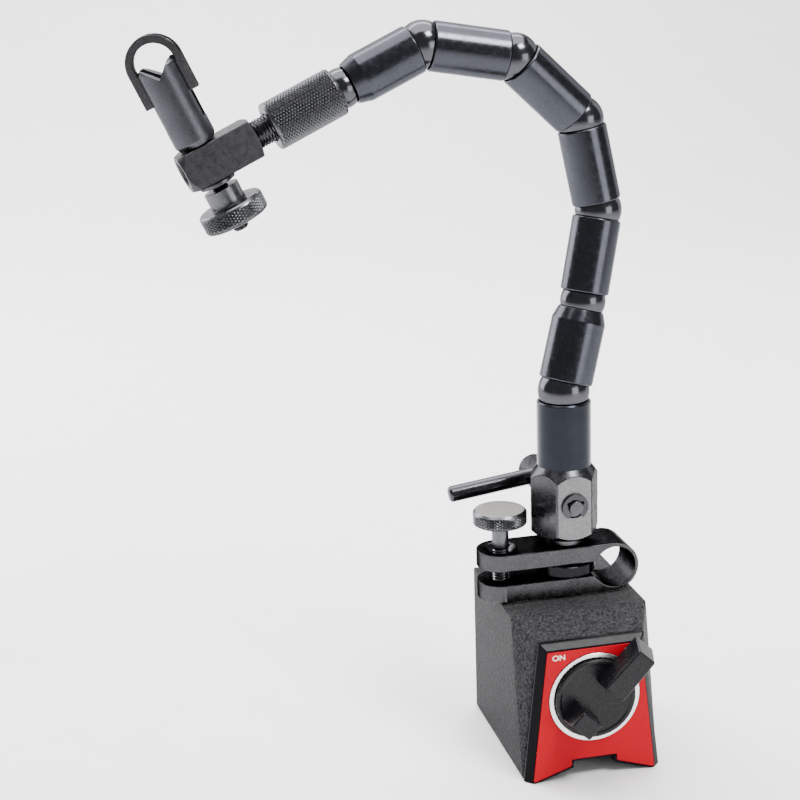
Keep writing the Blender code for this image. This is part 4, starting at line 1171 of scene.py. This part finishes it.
def make_nut():
    radius, collar, mouth = 11.4, 6.1, 3.6
    bottom, shoulder, top = -21.7, -15.2, -9.4
    below = [(SHANK_BORE, bottom + 0.6), (mouth, bottom)]
    above = [(collar, shoulder), (collar, top), (SHANK_BORE, top)]
    rows = drum_rows(radius, bottom, shoulder, below, above, (0.8, 0.25))
    nut = lathe_rows(rows, knurl_segments(radius, KNURL), closed=True)
    piece("knurled_nut", nut, STEM, KNURL_OXIDE, "clamp_nut", "clamp_nut")


# -------- pieces kept from the CAD

def finish_nodes():
    looks = {"stop_pin": BRIGHT_STEEL, "shaft_bush": BRASS, "clamp_base_screw": TURNED_OXIDE,
             "rotor_shaft": BRIGHT_STEEL, "magnet_rotor": MAGNET, "cable_puller": BRIGHT_STEEL,
             "cable_end": BRIGHT_STEEL}
    for number in range(7):
        looks[f"tension_cable_{number}"] = CABLE
    for name, finish in looks.items():
        for slot in frame["nodes"][name].material_slots:
            slot.material = finish


# -------- studio, in metres

def make_floor():
    """A paper sweep: level, then bent up behind the object."""
    size, back, rise, bend = 3.0, 1.6, 2.2, 0.7
    line = [(-size, 0.0)] + arc((back - bend, bend), bend, -90, 0, 24) + [(back, rise)]
    count = len(line)
    points = [(x, y, z) for x in (-size, size) for y, z in line]
    mesh = bpy.data.meshes.new("studio_floor")
    mesh.from_pydata(points, [], [(n, n + count, n + count + 1, n + 1) for n in range(count - 1)])
    mesh.shade_smooth()
    graph = Graph("studio_paper", (0.86, 0.86, 0.86), 0.7)
    tone = graph.colours(graph.noise(40, 2.0), (0.85, 0.85, 0.85), (0.87, 0.87, 0.87))
    mesh.materials.append(graph.finish(tone))
    linked("studio_floor", mesh)


MIDDLE = (0.02, 0.0, 0.13)
# Each light's place, what it points at, its width and height, and its power in watts
LIGHTS = {
    "side_right": ((0.85, 0.35, 0.45), MIDDLE, (0.45, 0.9), 3.0),
    "side_left": ((-0.7, 0.75, 0.5), (0.02, 0.0, 0.2), (0.7, 0.9), 17.0),
    "top_soft": ((0.0, 0.32, 0.95), (0.0, 0.32, 0.0), (1.0, 1.2), 22.0),
    "key": ((0.37, -0.5, 1.0), (0.06, -0.03, 0.05), (0.36, 0.3), 15.0),
    "front_right": ((0.75, -0.95, 0.25), MIDDLE, (0.6, 0.6), 6.0),
    "backdrop": ((0.0, 0.9, 1.7), (0.0, 1.6, 0.4), (2.0, 0.4), 55.0),
}
SKY = (0.85, 0.87, 0.9, 1.0)
SKY_STRENGTH = 0.4


def make_lights():
    for name, (place, target, size, power) in LIGHTS.items():
        light = bpy.data.lights.new(name, "AREA")
        light.shape = "RECTANGLE"
        light.size, light.size_y = size
        light.energy = power
        made = linked(name, light)
        made.location = place
        made.rotation_euler = (Vector(target) - Vector(place)).to_track_quat("-Z", "Y").to_euler()
    world = bpy.data.worlds.new("studio_light")
    world.use_nodes = True
    background = world.node_tree.nodes["Background"]
    background.inputs["Color"].default_value = SKY
    background.inputs["Strength"].default_value = SKY_STRENGTH
    bpy.context.scene.world = world


# The camera, in millimetres from the middle of the base's foot
CAMERA_FROM_BASE = (-182.14, -564.14, 298.06)
LENS = 78.59
TURNS = (12.42, 15.87, -1.89)   # yaw, pitch and roll


def make_camera():
    yaw, pitch, roll = map(math.radians, TURNS)
    level = Vector((math.sin(yaw), math.cos(yaw), 0)) * math.cos(pitch)
    forward = level - UP * math.sin(pitch)
    right = Vector((math.cos(yaw), -math.sin(yaw), 0))
    up = right.cross(forward)
    x = right * math.cos(roll) + up * math.sin(roll)
    y = -right * math.sin(roll) + up * math.cos(roll)
    camera = bpy.data.cameras.new("camera")
    camera.lens = LENS
    camera.sensor_width = 36.0
    camera.clip_start = 0.01
    made = linked("camera", camera)
    made.matrix_world = basis(BASE.translation + Vector(CAMERA_FROM_BASE) * MM, x, y, -forward)
    bpy.context.scene.camera = made


make_camera()
make_base()
make_cover()
make_label()
make_knob()
make_clamp()
make_fixings()
make_thumbscrew()
make_post()
make_lever()
make_clip()
make_balls()
make_tubes()
make_end()
make_block()
make_v_sleeve()
make_hook()
make_nut()
finish_nodes()
make_floor()
make_lights()
